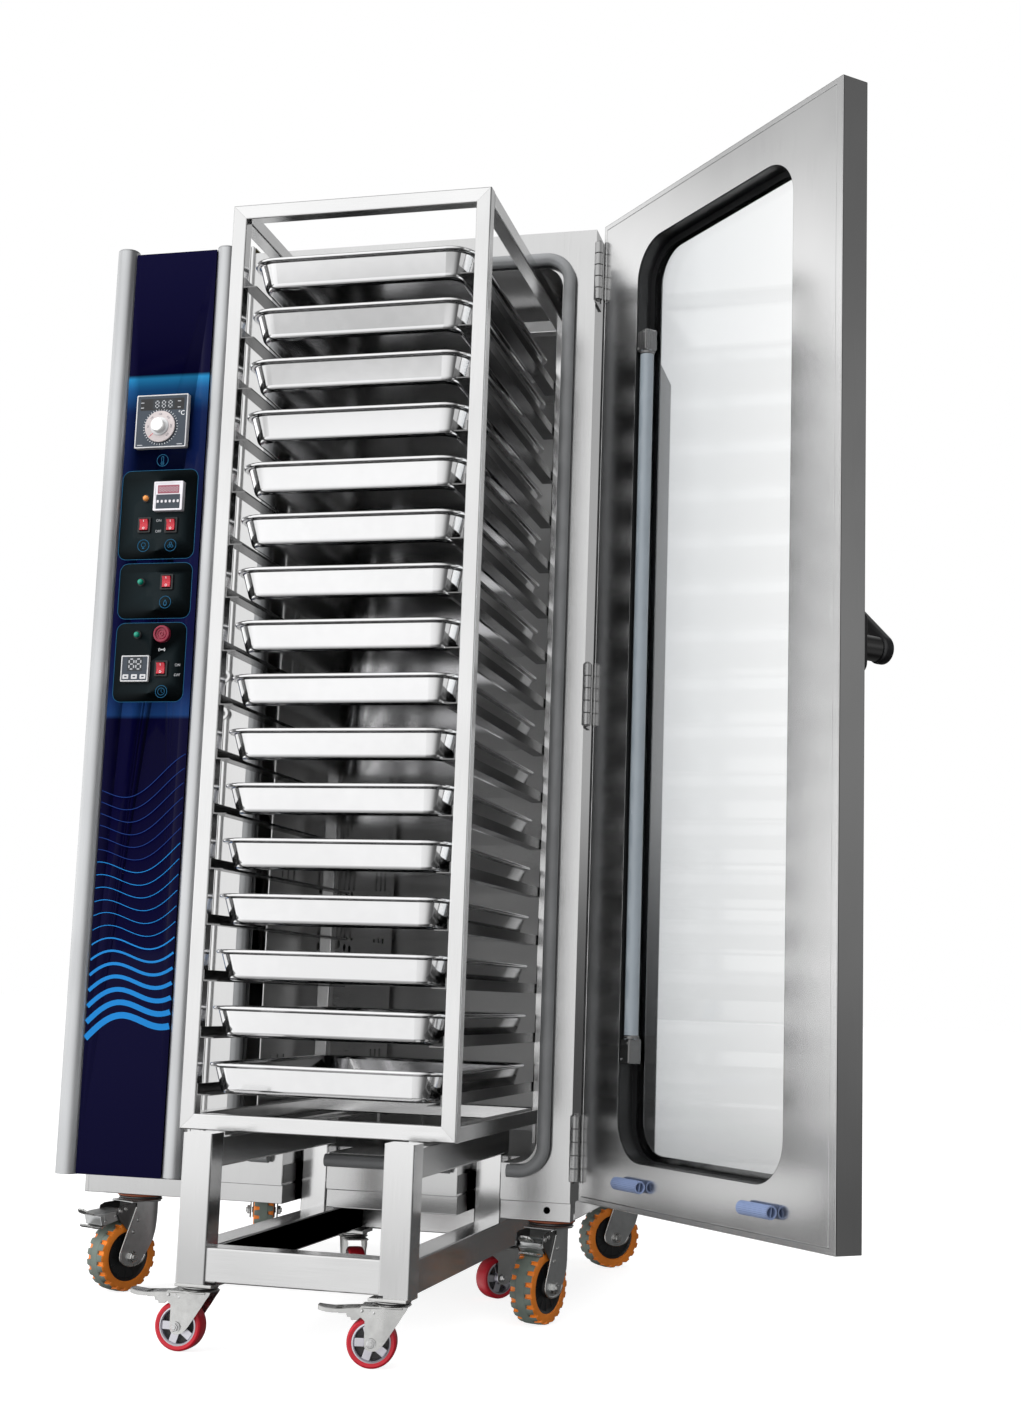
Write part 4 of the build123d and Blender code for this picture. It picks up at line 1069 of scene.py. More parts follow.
def doorPan():
    d = door
    rim = boxLoop(d["left"], d["right"], d["low"], d["high"], 1.2, 3)
    wall = boxLoop(d["left"] + d["sheet"], d["right"] - d["sheet"], d["low"] + 2, d["high"] - 2, 0.4, 2)
    lip = boxLoop(d["left"] + d["lipFree"], d["right"] - d["lip"], d["low"] + 9, d["high"] - 9, 0.5, 2)
    sunkPan = boxLoop(d["left"] + 15.5, d["right"] - 8.5, d["low"] + 9.5, d["high"] - 9.5, 0.5, 2)
    parts = [stoodSheet([rim, wall], d["thick"], d["outer"], 0.7, 2),
             stoodSheet([rim, windowLoop(-11.5, 0, 2.5)], d["sheet"], d["outer"], 0.6, 2),
             stoodSheet([rim, lip], 2.6, d["inner"] - 2.6, 0.6, 2),
             stoodSheet([sunkPan, windowLoop(0.6)], 2.6, d["inner"] - 2.8, 0.5, 2)]
    # Painted shade: the walls of the window recess take the dark coat, except the bottom wall, which keeps the door's
    # steel
    lining = tinted(stoodSheet([windowLoop(2.0), windowLoop(0)], d["thick"] - 5.2, d["outer"] + 2, 0.3), 1)
    for polygon in lining.polygons:
        if polygon.center.z < d["windowLow"] + 1.5 and abs(polygon.center.x) < d["windowHalf"] - 30:
            polygon.material_index = 0
    hem = tinted(stoodSheet([windowLoop(1.9), windowLoop(0.1)], 2.4, d["inner"] - 2.7, 0.5, 2), 1)
    groove = tinted(stoodSheet([lip, sunkPan], 0.6, d["inner"] - 3.2), 1)
    return settle("doorShellFine", joined(*parts, lining, hem, groove), [doorSteel, recessCoatAndShade], "door",
                  ["door_shell"], turn=doorTurn, crisp=28)


def clearGlass():
    material, tree, shader = startMaterial("clearGlass", (0.9, 0.9, 0.9), 0.0, 0.015)
    shader.inputs["Transmission Weight"].default_value = 1.0
    shader.inputs["IOR"].default_value = 1.2
    shader.inputs["Specular IOR Level"].default_value = 0.0
    # Painted shade: a grey tint, strongest at the hinge side and at the bottom, clears towards the free edge and the
    # top, standing in for the surroundings the panes reflect
    place = addNode(tree, "TexCoord")
    a = math.radians(doorPivot["openDegrees"])
    freeWay = (-math.cos(a), -math.sin(a), 0)
    reach = addNode(tree, "VectorMath", operation="DOT_PRODUCT")
    reach.inputs[1].default_value = freeWay
    wire(tree, place, reach, out="Object")
    pivotReach = (toModel @ Vector((doorPivot["x"], doorPivot["y"], 0))).dot(Vector(freeWay))
    wide = mapped(tree, reach, pivotReach + 0.11, pivotReach + 0.56, out="Value")
    tint = ramp(tree, [(0.0, (0.78, 0.79, 0.80)), (0.35, (0.90, 0.91, 0.915)), (1.0, (0.985, 0.988, 0.988))])
    wire(tree, wide, tint)
    parts = addNode(tree, "SeparateXYZ")
    wire(tree, place, parts, out="Object")
    foot = mapped(tree, parts, 0.29, 1.0, out="Z")
    # Painted shade: the pane darkens towards its foot
    paintedFootShade = ramp(tree, [(0.0, (0.66,) * 3), (0.15, (0.84,) * 3), (0.45, (0.95,) * 3), (1.0, (1.0,) * 3)])
    wire(tree, foot, paintedFootShade)
    both = addNode(tree, "Mix", data_type="RGBA", blend_type="MULTIPLY")
    both.inputs[0].default_value = 1.0
    tree.links.new(tint.outputs[0], both.inputs[6])
    tree.links.new(paintedFootShade.outputs[0], both.inputs[7])
    tree.links.new(both.outputs[2], shader.inputs["Base Color"])
    smear = mapped(tree, noise(tree, (1, 1, 0.4), Scale=3.0, Detail=3.0), toLow=0.005, toHigh=0.03)
    wire(tree, smear, shader, into="Roughness")
    return material


# A near-black coat, also used as painted shade on the window recess walls, the pane borders and the louvre mouths
recessCoatAndShade = mouldedSkin("recessCoatAndShade", (0.010, 0.0105, 0.011), 0.30, speckle=300.0, depth=0.05, cloud=0.2)
windowGlass = clearGlass()
lampGlass = mouldedSkin("lampGlass", (0.26, 0.30, 0.335), 0.14, depth=0.03, cloud=0.04, coat=0.6)
# Painted shade: this steel is darkened so the lamp holders' faces read as shaded; the handle's neck and the lever's
# hub share it
holderSteelShaded = grainedMetal("holderSteelShaded", (0.20, 0.20, 0.20), 0.26, upright, depth=0.06)
hingeSteel = grainedMetal("hingeSteel", (0.40, 0.40, 0.40), 0.24, (200, 200, 60), depth=0.08)
doorPan()
backPane = stoodSheet([windowLoop(-0.3)], 4.0, door["outer"] + 2.2, 0.5)
frontPane = stoodSheet([windowLoop(-0.3)], 4.0, door["outer"] + 14, 0.5)
# Painted shade: a dark border on both panes, widest at the hinge side and the top, stands in for the shaded jamb wall
# behind the glass
clearView = boxLoop(-door["windowHalf"] + 4, door["windowHalf"] - 12.5, door["windowLow"] + 3,
                    door["windowHigh"] - 12.5, 60, 14)
borders = [tinted(stoodSheet([windowLoop(-0.4), clearView], 0.1, door["outer"] + depth),
                  1) for depth in (18.03, 2.05)]
settle("doorGlassFine", joined(backPane, frontPane, *borders), [windowGlass, recessCoatAndShade], "door", ["door_glass"],
       turn=doorTurn)

handle = {"x": -315.0, "z": 1075.0, "stand": 41.8, "big": 22.0, "small": 13.0, "reach": 128.0, "thick": 19.0}

# Hinges: five rolled knuckles on a pin, taken by the leaves in turn
hinge = {"heights": (1861.0, 1079.0, 299.0), "knuckle": 21.6, "step": 22.0, "radius": 8.0, "pin": 4.0, "half": 54.8}


def hingeKnuckle(z):
    r, h = hinge["radius"], hinge["knuckle"] / 2
    bore = hinge["pin"] + 0.15
    profile = bothSides([(bore, -h), (r - 0.9, -h), (r, -h + 0.9)])
    return lathe(profile, (doorPivot["x"], doorPivot["y"], z), alongZ, 28, closed=True)


def hingeLeaf(x, y0, y1, middle, taken):
    plate = blocks((x, x + 3, y0, y1, middle - hinge["half"], middle + hinge["half"]), round=0.6)
    return [plate] + [hingeKnuckle(middle + k * hinge["step"]) for k in taken]


def hingeSide(cabinet):
    parts = []
    for middle in hinge["heights"]:
        if cabinet:
            parts += hingeLeaf(331.1, -7.5, 44, middle, (-2, 0, 2))
            h = hinge["half"]
            pin = [(0, -h - 3), (2.6, -h - 2.4), (4, -h - 0.4), (3.95, h - 1), (5.6, h - 0.6), (5.8, h + 1.4),
                   (3.6, h + 3.2), (0, h + 3.6)]
            parts.append(lathe(pin, (doorPivot["x"], doorPivot["y"], middle), alongZ, 20))
            for dz in (-38, 0, 38):
                for y in (16, 34):
                    parts.append(lathe([(0, 0), (4.6, 0), (4.2, 1.2), (1.2, 1.7), (0, 1.0)], (334.1, y, middle + dz),
                                       alongX, 16))
        else:
            parts += hingeLeaf(door["right"] + 0.1, door["outer"] + 4, doorPivot["y"] - 9.5, middle, (-1, 1))
    return parts


# Upright lamp tube, and the two hoses that plug the gaps of the cabinet's seal
lamp = {"x": 204.0, "y": door["inner"] - 13, "radius": 12, "low": 470, "high": 1688,
        "holders": ((447, 488, True), (1671, 1710, False))}
hose = {"runs": ((-210, -137), (132, 204)), "radius": 10.2, "bore": 7.6, "ribs": 22, "ribDeep": 0.55, "z": 256}


# A square lamp holder with a sleeve and a fixing screw
def lampHolder(low, high, sleeveUp):
    x, y = lamp["x"], lamp["y"]
    box = blocks((x - 12.5, door["windowHalf"] - 0.3, y - 12.5, door["inner"] - 0.7, low, high), round=3.0, steps=4)
    end, sign = (high, 1) if sleeveUp else (low, -1)
    sleeve = lathe([(0, 0), (13.2, 0), (13.2, 4.5 * sign), (12.3, 5.5 * sign), (0, 5.5 * sign)], (x, y, end), alongZ,
                   28)
    screws = [lathe([(0, 0), (2.6, 0), (2.4, 1.2), (0.8, 1.7), (0, 1.1)],
                    (x + dx, door["inner"] - 0.7, (low + high) / 2 + dz), alongY, 12)
              for dx, dz in ((-7, 13), (9, -13))]
    return [tinted(box, 1), tinted(sleeve, 1)] + [tinted(s, 0) for s in screws]


# Ribbed hose piece: corrugated lengthwise, open, with a web across the bore
def sealHose(x0, x1):
    outer = []
    for i in range(2 * hose["ribs"]):
        a, r = math.pi * i / hose["ribs"], hose["radius"] - (hose["ribDeep"] if i % 2 else 0.0)
        outer.append((r * math.cos(a), r * math.sin(a)))
    body = cutSheet([outer, ringLoop(0, 0, hose["bore"], 28)], x1 - x0, 0.25)
    web = cutSheet([boxLoop(-7.7, 7.7, -0.7, 0.7, 0.2, 1)], x1 - x0 - 2)
    lay = at((x0 + x1) / 2, door["inner"] + 10.4, hose["z"]) @ spun(90, "Y") @ spun(8, "Z")
    return [tinted(moved(body, lay), 3), tinted(moved(web, lay), 3)]


def doorFittings():
    r, low, high = lamp["radius"], lamp["low"], lamp["high"]
    end = [(0, low), (r - 3, low), (r - 0.6, low + 3), (r, low + 8)]
    tube = lathe(end + [(radius, low + high - z) for radius, z in reversed(end)], (lamp["x"], lamp["y"], 0), alongZ,
                 32)
    parts = hingeSide(False) + [tinted(tube, 2)]
    for holder in lamp["holders"]:
        parts += lampHolder(*holder)
    for run in hose["runs"]:
        parts += sealHose(*run)
    px, pz, back = handle["x"], handle["z"], door["outer"]
    base = stoodSheet([loopAt(px, pz + 4, 24, 46, 14, 8)], 5.9, back - 6, 1.6, 3)
    neck = lathe([(6.1, 5.5), (22.5, 5.5), (21.5, 7.0), (19, 7.6), (19, 39.6), (18.2, 41.2), (6.1, 41.2)],
                 (px, back, pz), outwards, 40, closed=True)
    knob = lathe([(0, 5.6), (6.2, 5.6), (6.2, 9.0), (5.0, 12.2), (2.6, 13.6), (0, 13.8)], (px, back, pz - 30),
                 outwards, 24)
    cap = lathe([(0, 5.6), (4.2, 5.6), (3.8, 7.2), (1.0, 7.8), (0, 7.0)], (px, back, pz + 38), outwards, 20)
    parts += [tinted(base, 4), tinted(neck, 1), tinted(knob, 4), tinted(cap, 1)]
    settle("doorFittingsFine", joined(*parts), [hingeSteel, holderSteelShaded, lampGlass, tubeBlue, blackPlasticAndShade], "door",
           ["door_fittings"], turn=doorTurn, crisp=30)


doorFittings()


# Lever: a flat teardrop with full round edges, its small end up and towards the hinge
def lever():
    big, small, reach, thick = handle["big"], handle["small"], handle["reach"], handle["thick"]
    lean = math.asin((big - small) / reach)
    outline = [(big * math.cos(a),
                big * math.sin(a)) for a in (math.pi / 2 - lean + (math.pi + 2 * lean) * i / 24 for i in range(25))]
    outline += [(reach + small * math.cos(a),
                 small * math.sin(a)) for a in (-math.pi / 2 - lean + (math.pi + 2 * lean) * i / 18
                                                for i in range(19))]
    arm = stoodSheet([outline], thick, -thick, 6.0, 5)
    hub = lathe([(0, 0), (9, 0), (9, 1.6), (8, 2.2), (0, 2.2)], (0, -thick + 0.4, 0), outwards, 28)
    spindle = lathe([(0, -33), (6, -33), (6, 0.6), (0, 0.6)], origin, outwards, 20)
    place = at(handle["x"], door["outer"] - handle["stand"], handle["z"]) @ spun(-45, "Y")
    settle("handleLeverFine", moved(joined(arm, tinted(hub, 0), tinted(spindle, 1)), place),
           [blackPlasticAndShade, holderSteelShaded], "lever", ["handle_lever"], turn=doorTurn, crisp=35)


lever()


# Fixed hardware on the cabinet: latch strip with its slot, washers, roller, hinge leaves
latch = {"left": -371, "right": -341.2, "low": 212, "high": 1961, "slot": (-355, -347, 1082, 1104),
         "seams": (-365.5, -346.5),
         "washers": (1119.6, 1049.9), "washerX": -351, "roller": (-364, -15.5, 1074)}


def frameFittings():
    strip = [boxLoop(latch["left"], latch["right"], latch["low"], latch["high"], 1.0, 3),
             boxLoop(*latch["slot"], 3.9, 5)]
    x0, x1, z0, z1 = latch["slot"]
    seams = [(x - 0.5, x + 0.5, -7.35, -6.9, latch["low"] + 2, latch["high"] - 2) for x in latch["seams"]]
    parts = [tinted(stoodSheet(strip, 6.8, -7, 0.8, 2), 1),
             blocks(*seams, (x0 - 2, x1 + 2, -1.5, -0.9, z0 - 2, z1 + 2), finish=2)]
    for z in latch["washers"]:
        washer = [(0, 7), (12.2, 7), (12.5, 7.4), (12.5, 9.1), (12.0, 9.5), (0, 9.5)]
        screw = [(0, 9.4), (6.6, 9.4), (6.6, 11.6), (5.4, 13.2), (2.4, 13.9), (2.0, 12.4), (0, 12.4)]
        parts += [lathe(washer, (latch["washerX"], 0, z), outwards, 36, finish=1),
                  lathe(screw, (latch["washerX"], 0, z), outwards, 24, finish=1)]
    x, y, z = latch["roller"]
    parts.append(lathe([(0, 0.2), (6.2, 0.2), (7, 1), (7, 20), (6.2, 20.8), (0, 20.8)], latch["roller"], alongX, 28,
                       finish=1))
    parts.append(blocks((x - 2, x + 1.4, y - 1.5, -7.1, z - 6.5, z + 6.5),
                        (x - 2, x + 12, -8.6, -7.1, z - 10, z + 10), finish=1, round=0.4))
    settle("doorFrameFittingsFine", joined(*parts, *hingeSide(True)), [hingeSteel, stripSteel, blackPlasticAndShade], "oven",
           ["door_frame_fittings"], crisp=30)


stripSteel = grainedMetal("stripSteel", (0.70, 0.70, 0.70), 0.25, upright, depth=0.08)
frameFittings()
print("door made")


# Cabinet: sheet steel outside, welded liner inside, seal, base and what is fitted behind
seal = {"half": 284.5, "low": 256.0, "high": 1893.0, "corner": 44.0, "radius": 11.0,
        "gaps": ((-212.0, -106.0), (121.0, 222.0))}


def sealRun(path):
    section = []
    for i in range(32):
        a = 2 * math.pi * i / 32
        r = seal["radius"] - (0.7 if i in (5, 27) else 0.0)
        section.append((r * math.cos(a), r * math.sin(a)))
    return swept([(x, -11.2, z) for x, z in path], section, alongY)


def doorSeal():
    low = seal["low"]
    loop = boxLoop(-seal["half"], seal["half"], low, seal["high"], seal["corner"], 12)
    quarter = len(loop) // 4
    ring = loop[3 * quarter:] + loop[:3 * quarter]
    (l0, l1), (r0, r1) = seal["gaps"]
    settle("doorGasketFine", joined(sealRun([(r1, low)] + ring + [(l0, low)]), sealRun([(l1, low), (r0, low)])),
           [sealRubber], "oven",
           ["door_gasket"], crisp=40)


doorSeal()

baseRing = {"left": -570.0, "right": 331.0, "front": 6.0, "back": 876.0, "low": 174.0, "high": 205.8, "beam": 40.0,
            "corner": 1.6,
            "notchDeep": 136.0, "notches": ((-190.0, -106.0), (131.0, 209.0)), "returnWide": 30, "returnBack": 150,
            "drain": (290.2, 192),
            "casters": ((-489.0, 70.0), (284.0, 70.0), (-527.0, 796.0), (280.0, 796.0))}


# Base: welded box section; the front beam is broken by the notches and returns along their sides
def baseFrame():
    b = baseRing
    z, deep, t, back = (b["low"] + b["high"]) / 2, b["high"] - b["low"], b["beam"], b["returnBack"]
    left, right, front, wide = b["left"], b["right"], b["front"], b["returnWide"]
    (l0, l1), (r0, r1) = b["notches"]
    # Start and end of each length in plan, its width, and what its width lies along
    lengths = [((x0, front + t / 2), (x1, front + t / 2), t, alongY) for x0,
               x1 in ((left, l0), (l1, r0), (r1, right))]
    lengths += [((x, front + t), (x, back), wide, alongX) for x in (l0 - wide / 2, l1 + wide / 2, r0 - wide / 2,
                                                                    r1 + wide / 2)]
    lengths += [((x, front + t), (x, b["back"] - t), t, alongX) for x in (left + t / 2, right - t / 2)]
    lengths += [((left + t, back + t / 2), (right - t, back + t / 2), t, alongY)]
    lengths += [((left, b["back"] - t / 2), (right, b["back"] - t / 2), t, alongY)]
    parts = [boxTube((*start, z), (*end, z), side, w, deep, b["corner"]) for start, end, w, side in lengths]
    parts.append(blocks((left - 0.2, left + 6.5, front - 0.4, front + 0.4, b["low"] + 0.8, b["high"] - 0.6),
                        round=0.3))
    holeX, holeZ = b["drain"]
    rolled = [(0, 0), (5.4, 0), (6.0, 0.35), (5.2, 0.5), (4.8, -0.6), (0, -0.6)]
    parts.append(lathe(rolled, (holeX, front, holeZ), outwards, 24, finish=2))
    ring = [(0, 167.2), (40, 167.2), (42, 168.6), (42, 170.2), (39.4, 171.0), (39.4, 173.9), (0, 173.9)]
    for x, y in b["casters"]:
        parts.append(lathe(ring, (x, y, 0), alongZ, 48, finish=1))
        parts.append(blocks((x - 44, x + 34, y - 40, y + 40, 171.4, 173.9), finish=3, round=0.5))
    # Painted shade: thin dark sheets line the walls of the notches and of the sill above them, standing in for the
    # shade inside
    for x0, x1 in b["notches"]:
        near, far = front + 0.4, b["notchDeep"] - 0.6
        walls = []
        for low, high in ((b["low"] + 0.4, b["high"] - 0.4), (209.6, 241.0)):
            walls += [(x0 + 0.2, x0 + 0.6, near, far, low, high), (x1 - 0.6, x1 - 0.2, near, far, low, high),
                      (x0 + 0.6, x1 - 0.6, far, far + 0.4, low, high)]
        parts.append(blocks(*walls, finish=4))
    settle("baseFrameFine", joined(*parts), [cabinetSteel, raceOrange, blackPlasticAndShade, greyPlate, darkZincAndShade], "oven",
           ["base_frame"], crisp=30)


baseFrame()

# What the cabinet's own solids are finished with
finishes = {"cabinet_shell": cabinetSteel, "cavity_liner": linerSteel, "insulation": woolYellow,
            "fan_baffle": linerSteel, "fan_wheel_lower": guideSteel,
            "fan_wheel_upper": guideSteel, "fan_motors": motorPaint, "heater_elements": heaterOxide}
for node, finish in finishes.items():
    for slot in bpy.data.objects[node].material_slots:
        slot.link = "OBJECT"
        slot.material = finish

# Screwed covers on plain walls: louvres beside the fans at the left, a pressed field at the back
covers = {"left": {"wide": 560.0, "high": 1500.0, "louvres": (380.0, -380.0)},
          "back": {"wide": 620.0, "high": 1420.0, "louvres": ()}}
coverPlaces = {"left": at(-603.7, 470, 1080) @ spun(-90, "Z") @ spun(90, "X"),
               "back": at(-110, 880.2, 1130) @ spun(180, "Z") @ spun(90, "X")}
louvreGrid = {"columns": (-160, 0, 160), "rows": 10, "pitch": 30, "start": 135}


def louvre():
    bm = bmesh.new()
    foot = [bm.verts.new(p) for p in ((-70, 7, 0.9), (70, 7, 0.9), (70, -7, 0.9), (-70, -7, 0.9))]
    lip = [bm.verts.new(p) for p in ((-63, -6.2, 6.6), (63, -6.2, 6.6))]
    bm.faces.new((foot[0], foot[1], lip[1], lip[0]))
    bm.faces.new((foot[0], lip[0], foot[3]))
    bm.faces.new((foot[1], foot[2], lip[1]))
    # Painted shade: the louvre's mouth is closed by a face in the dark coat
    bm.faces.new((foot[3], lip[0], lip[1], foot[2])).material_index = 1
    bmesh.ops.recalc_face_normals(bm, faces=bm.faces)
    return toMesh(bm, round=1.2, steps=2, limit=20)


def coverPanel(kind):
    wide, high = covers[kind]["wide"], covers[kind]["high"]
    parts = [moved(cutSheet([roundedLoop(wide / 2, high / 2, 6, 4)], 1.2, 0.3, 2), at(0, 0, 0.6))]
    if not covers[kind]["louvres"]:
        parts.append(moved(cutSheet([roundedLoop(wide / 2 - 45, high / 2 - 45, 30, 8)], 2.6, 1.2, 3), at(0, 0, 1.6)))
    for middle in covers[kind]["louvres"]:
        for column in louvreGrid["columns"]:
            heights = [middle + louvreGrid["start"] - louvreGrid["pitch"] * i for i in range(louvreGrid["rows"])]
            parts += [copied(louvre(), at(column, height, 0)) for height in heights]
    head = lathe([(0, 1.1), (4.6, 1.1), (4.4, 2.2), (2.6, 3.3), (0.9, 3.5), (0.7, 2.8), (0, 2.7)], origin, alongZ, 16,
                 finish=2)
    x, y, rows = wide / 2 - 14, high / 2 - 14, int(high // 230)
    for side in (-1, 1):
        screws = [(side * x, -y + 2 * y * i / rows) for i in range(rows + 1)] + [(-x + 2 * x * i / 3,
                                                                                  side * y) for i in (1, 2)]
        parts += [copied(head, at(*screw, 0)) for screw in screws]
    settle(kind + "Cover", moved(joined(*parts), coverPlaces[kind]), [galvanised, recessCoatAndShade, chromeBolt], "oven",
           crisp=30)


galvanised = grainedMetal("galvanised", (0.54, 0.56, 0.57), 0.40, (60, 60, 60), depth=0.05, cloud=0.07, spread=0.06)
galvanised.node_tree.nodes["Principled BSDF"].inputs["Metallic"].default_value = 0.8
for kind in covers:
    coverPanel(kind)
print("cabinet made")


# Trolley: 48 mm box section with square corners barely broken
trolley = {"centre": 4.0, "half": 186.0, "tube": 48.0, "front": -457.0, "postFront": 80.0, "rear": 345.0,
           "legLow": 103.0, "legHigh": 326.0,
           "upperLow": 274.0, "upperHigh": 320.0, "lowerLow": 105.5, "lowerHigh": 157.0, "corner": 2.6,
           "plates": ((-150.0, -433.0, 102.9), (158.0, -433.0, 102.9), (-150.0, 291.0, 105.4), (158.0, 291.0, 105.4))}


def trolleyFrame():
    t = trolley
    w, front, rear, lowHigh = t["tube"], t["front"], t["rear"], t["lowerHigh"] - t["lowerLow"]
    middle = (t["lowerLow"] + t["lowerHigh"]) / 2
    railHigh = t["upperHigh"] - t["upperLow"]
    parts = []
    for side in (-1, 1):
        x = t["centre"] + side * (t["half"] - w / 2)
        for y, low, high in ((front + w / 2, t["legLow"], t["legHigh"]),
                             (t["postFront"] + w / 2, t["lowerHigh"], t["upperLow"])):
            parts.append(boxTube((x, y, low), (x, y, high), alongX, w, w, t["corner"]))
        for end, z, high in ((t["postFront"] + w, t["upperLow"] + railHigh / 2, railHigh),
                             (rear, t["lowerLow"] + lowHigh / 2, lowHigh)):
            parts.append(boxTube((x, front + w, z), (x, end, z), alongX, w, high, t["corner"], finish=1))
    left, right = t["centre"] - t["half"] + w, t["centre"] + t["half"] - w
    for y, wide in ((front + 4 + (w - 4) / 2, w - 4), (rear - w / 2, w)):
        parts.append(boxTube((left, y, middle), (right, y, middle), alongY, wide, lowHigh, t["corner"], finish=2))
    for x, y, top in t["plates"]:
        parts.append(blocks((x - 30, x + 30, y - 30, y + 30, 98.3, top), finish=3, round=1.0))
        parts += [hexHead((x + dx, y + dy, 98.35), (0, 0, -1), 7.5, 0.02, 3) for dx in (-22, 22) for dy in (-22, 22)]
    parts.append(blocks((right - 0.4, right + 8, front - 0.3, front + 0.5, 103.4, 106.5), finish=4))
    settle("trolleyFrameFine", joined(*parts), [trolleySteel, trolleyRailShaded, trolleyCross, zincPlate, blackPlasticAndShade],
           "trolley",
           ["trolley_frame"], crisp=30)


trolleySteel = grainedMetal("trolleySteel", (0.74, 0.74, 0.74), 0.14, upright, depth=0.03, cloud=0.05, spread=0.035)
# Painted shade: the side rails' steel is darker than the legs' so that their sides read dark
trolleyRailShaded = grainedMetal("trolleyRailShaded", (0.54, 0.54, 0.54), 0.22, inward, depth=0.04, cloud=0.05, spread=0.05)
trolleyRailShaded.node_tree.nodes["Principled BSDF"].inputs["Metallic"].default_value = 0.95
trolleyCross = grainedMetal("trolleyCross", (0.74, 0.74, 0.74), 0.22, across, depth=0.035, cloud=0.05, spread=0.05)
trolleyFrame()
print("trolley made")


# Casters, drawn with the trail along X and turned into place
ovenCasters = {
    "front_left": {"x": -489.0, "y": 70.0, "turn": 243.5, "pedal": 132.0},
    "front_right": {"x": 284.0, "y": 70.0, "turn": 252.0, "pedal": 89.0},
    "rear_left": {"x": -527.0, "y": 796.0, "turn": 110.7, "pedal": 0},
    "rear_right": {"x": 280.0, "y": 796.0, "turn": 222.0, "pedal": 0}}
trolleyCasters = {
    "front_left": {"x": -150.0, "y": -433.0, "turn": 181.0, "pedal": 110.0},
    "front_right": {"x": 158.0, "y": -433.0, "turn": 192.0, "pedal": 110.0},
    "rear_left": {"x": -150.0, "y": 291.0, "turn": 300.0, "pedal": 0},
    "rear_right": {"x": 158.0, "y": 291.0, "turn": 229.0, "pedal": 0}}
orangeWheel = {"radius": 62.5, "half": 22.0, "axle": 6.0, "trail": 36.0, "top": 167.0, "race": 40.0, "cheek": 4.0,
               "along": 50.0, "up": 141.0,
               "lugs": 20, "lugHigh": 3.8, "treadHalf": 20.6, "crease": 11.5}
redWheel = {"radius": 37.5, "half": 15.0, "axle": 4.0, "trail": 28.0, "top": 98.0, "race": 29.0, "cheek": 3.0,
            "along": 32.0, "up": 84.5, "crease": 12.0}


# The wheels are drawn round Y; what is symmetrical is given up to the middle of its width
def wheelRing(halfProfile, steps, finish=0):
    return lathe(bothSides(halfProfile), origin, alongY, steps, closed=True, finish=finish)



# One tread block: grey where it runs, still coloured on its flanks
def treadLug(w, side):
    r, h = w["radius"], w["lugHigh"]
    a = math.pi / w["lugs"] * 0.60
    bm = bmesh.new()
    stations = []
    for y, low, high, spread in ((8.6, r - h - 1, r - 0.05, 1.25), (11.5, r - h - 1, r - 0.15, 1.05),
                                 (17.0, r - h - 1, r - 0.5, 0.95), (w["treadHalf"], r - h - 3, r - 1.8, 0.9),
                                 (w["treadHalf"] + 1.3, r - h - 8, r - 4.6, 0.78),
                                 (w["treadHalf"] + 0.9, r - 15.5, r - 11.5, 0.6)):
        across = [(low, -1.12), (high - 0.9, -1.0), (high, -0.72), (high, 0.72), (high - 0.9, 1.0), (low, 1.12)]
        stations.append([bm.verts.new((radius * math.sin(k * a * spread), side * y,
                                       radius * math.cos(k * a * spread))) for radius, k in across])
    for n, (p, q) in enumerate(zip(stations, stations[1:])):
        for i in range(6):
            j = (i + 1) % 6
            bm.faces.new((p[i], p[j], q[j], q[i])).material_index = 1 if i in (1, 2, 3) and n < 3 else 0
    bm.faces.new(stations[0]).material_index = 1
    bm.faces.new(stations[-1])
    bmesh.ops.recalc_face_normals(bm, faces=bm.faces)
    return toMesh(bm)


def turnedAround(mesh, count, start=0.0):
    keep = [p.material_index for p in mesh.polygons]
    if start:
        mesh = moved(mesh, spun(start, "Y"))
    whole = repeated(mesh, count, turnDegrees=(0, 360 / count, 0))
    for polygon in whole.polygons:
        polygon.material_index = keep[polygon.index % len(keep)]
    return whole


def orangeTyre(w):
    r, h = w["radius"], w["half"]
    tyre = wheelRing([(r - 19, -h + 3), (r - 17.5, -h + 0.6), (r - 9, -h - 0.2), (r - 5.4, -h + 1.4),
                      (r - 4.2, -h + 4), (r - 3.8, -h + 9)], 72)
    band = wheelRing([(r - 5, -9.6), (r - 1.2, -9.2), (r, -8.0)], 72, finish=1)
    left = turnedAround(treadLug(w, 1), w["lugs"])
    right = turnedAround(treadLug(w, -1), w["lugs"], 180 / w["lugs"])
    return [tyre, band, left, right]


def orangeHub(w):
    h = w["half"]
    dish = wheelRing([(w["axle"] + 0.3, -h - 2.6), (15.5, -h - 2.6), (16.6, -h - 1.4), (17.6, -h + 5), (38, -h + 6.5),
                      (41, -h + 3.4),
                      (43.4, -h + 2.2), (44.4, -h + 3.4)], 64, finish=2)
    ribs = [blocks((-1.1, 1.1, *sorted((side * (h - 6.6), side * (h - 4.6))), 16.5, 42.5),
                   round=0.5) for side in (-1, 1)]
    return [dish] + [tinted(turnedAround(rib, 12), 2) for rib in ribs]


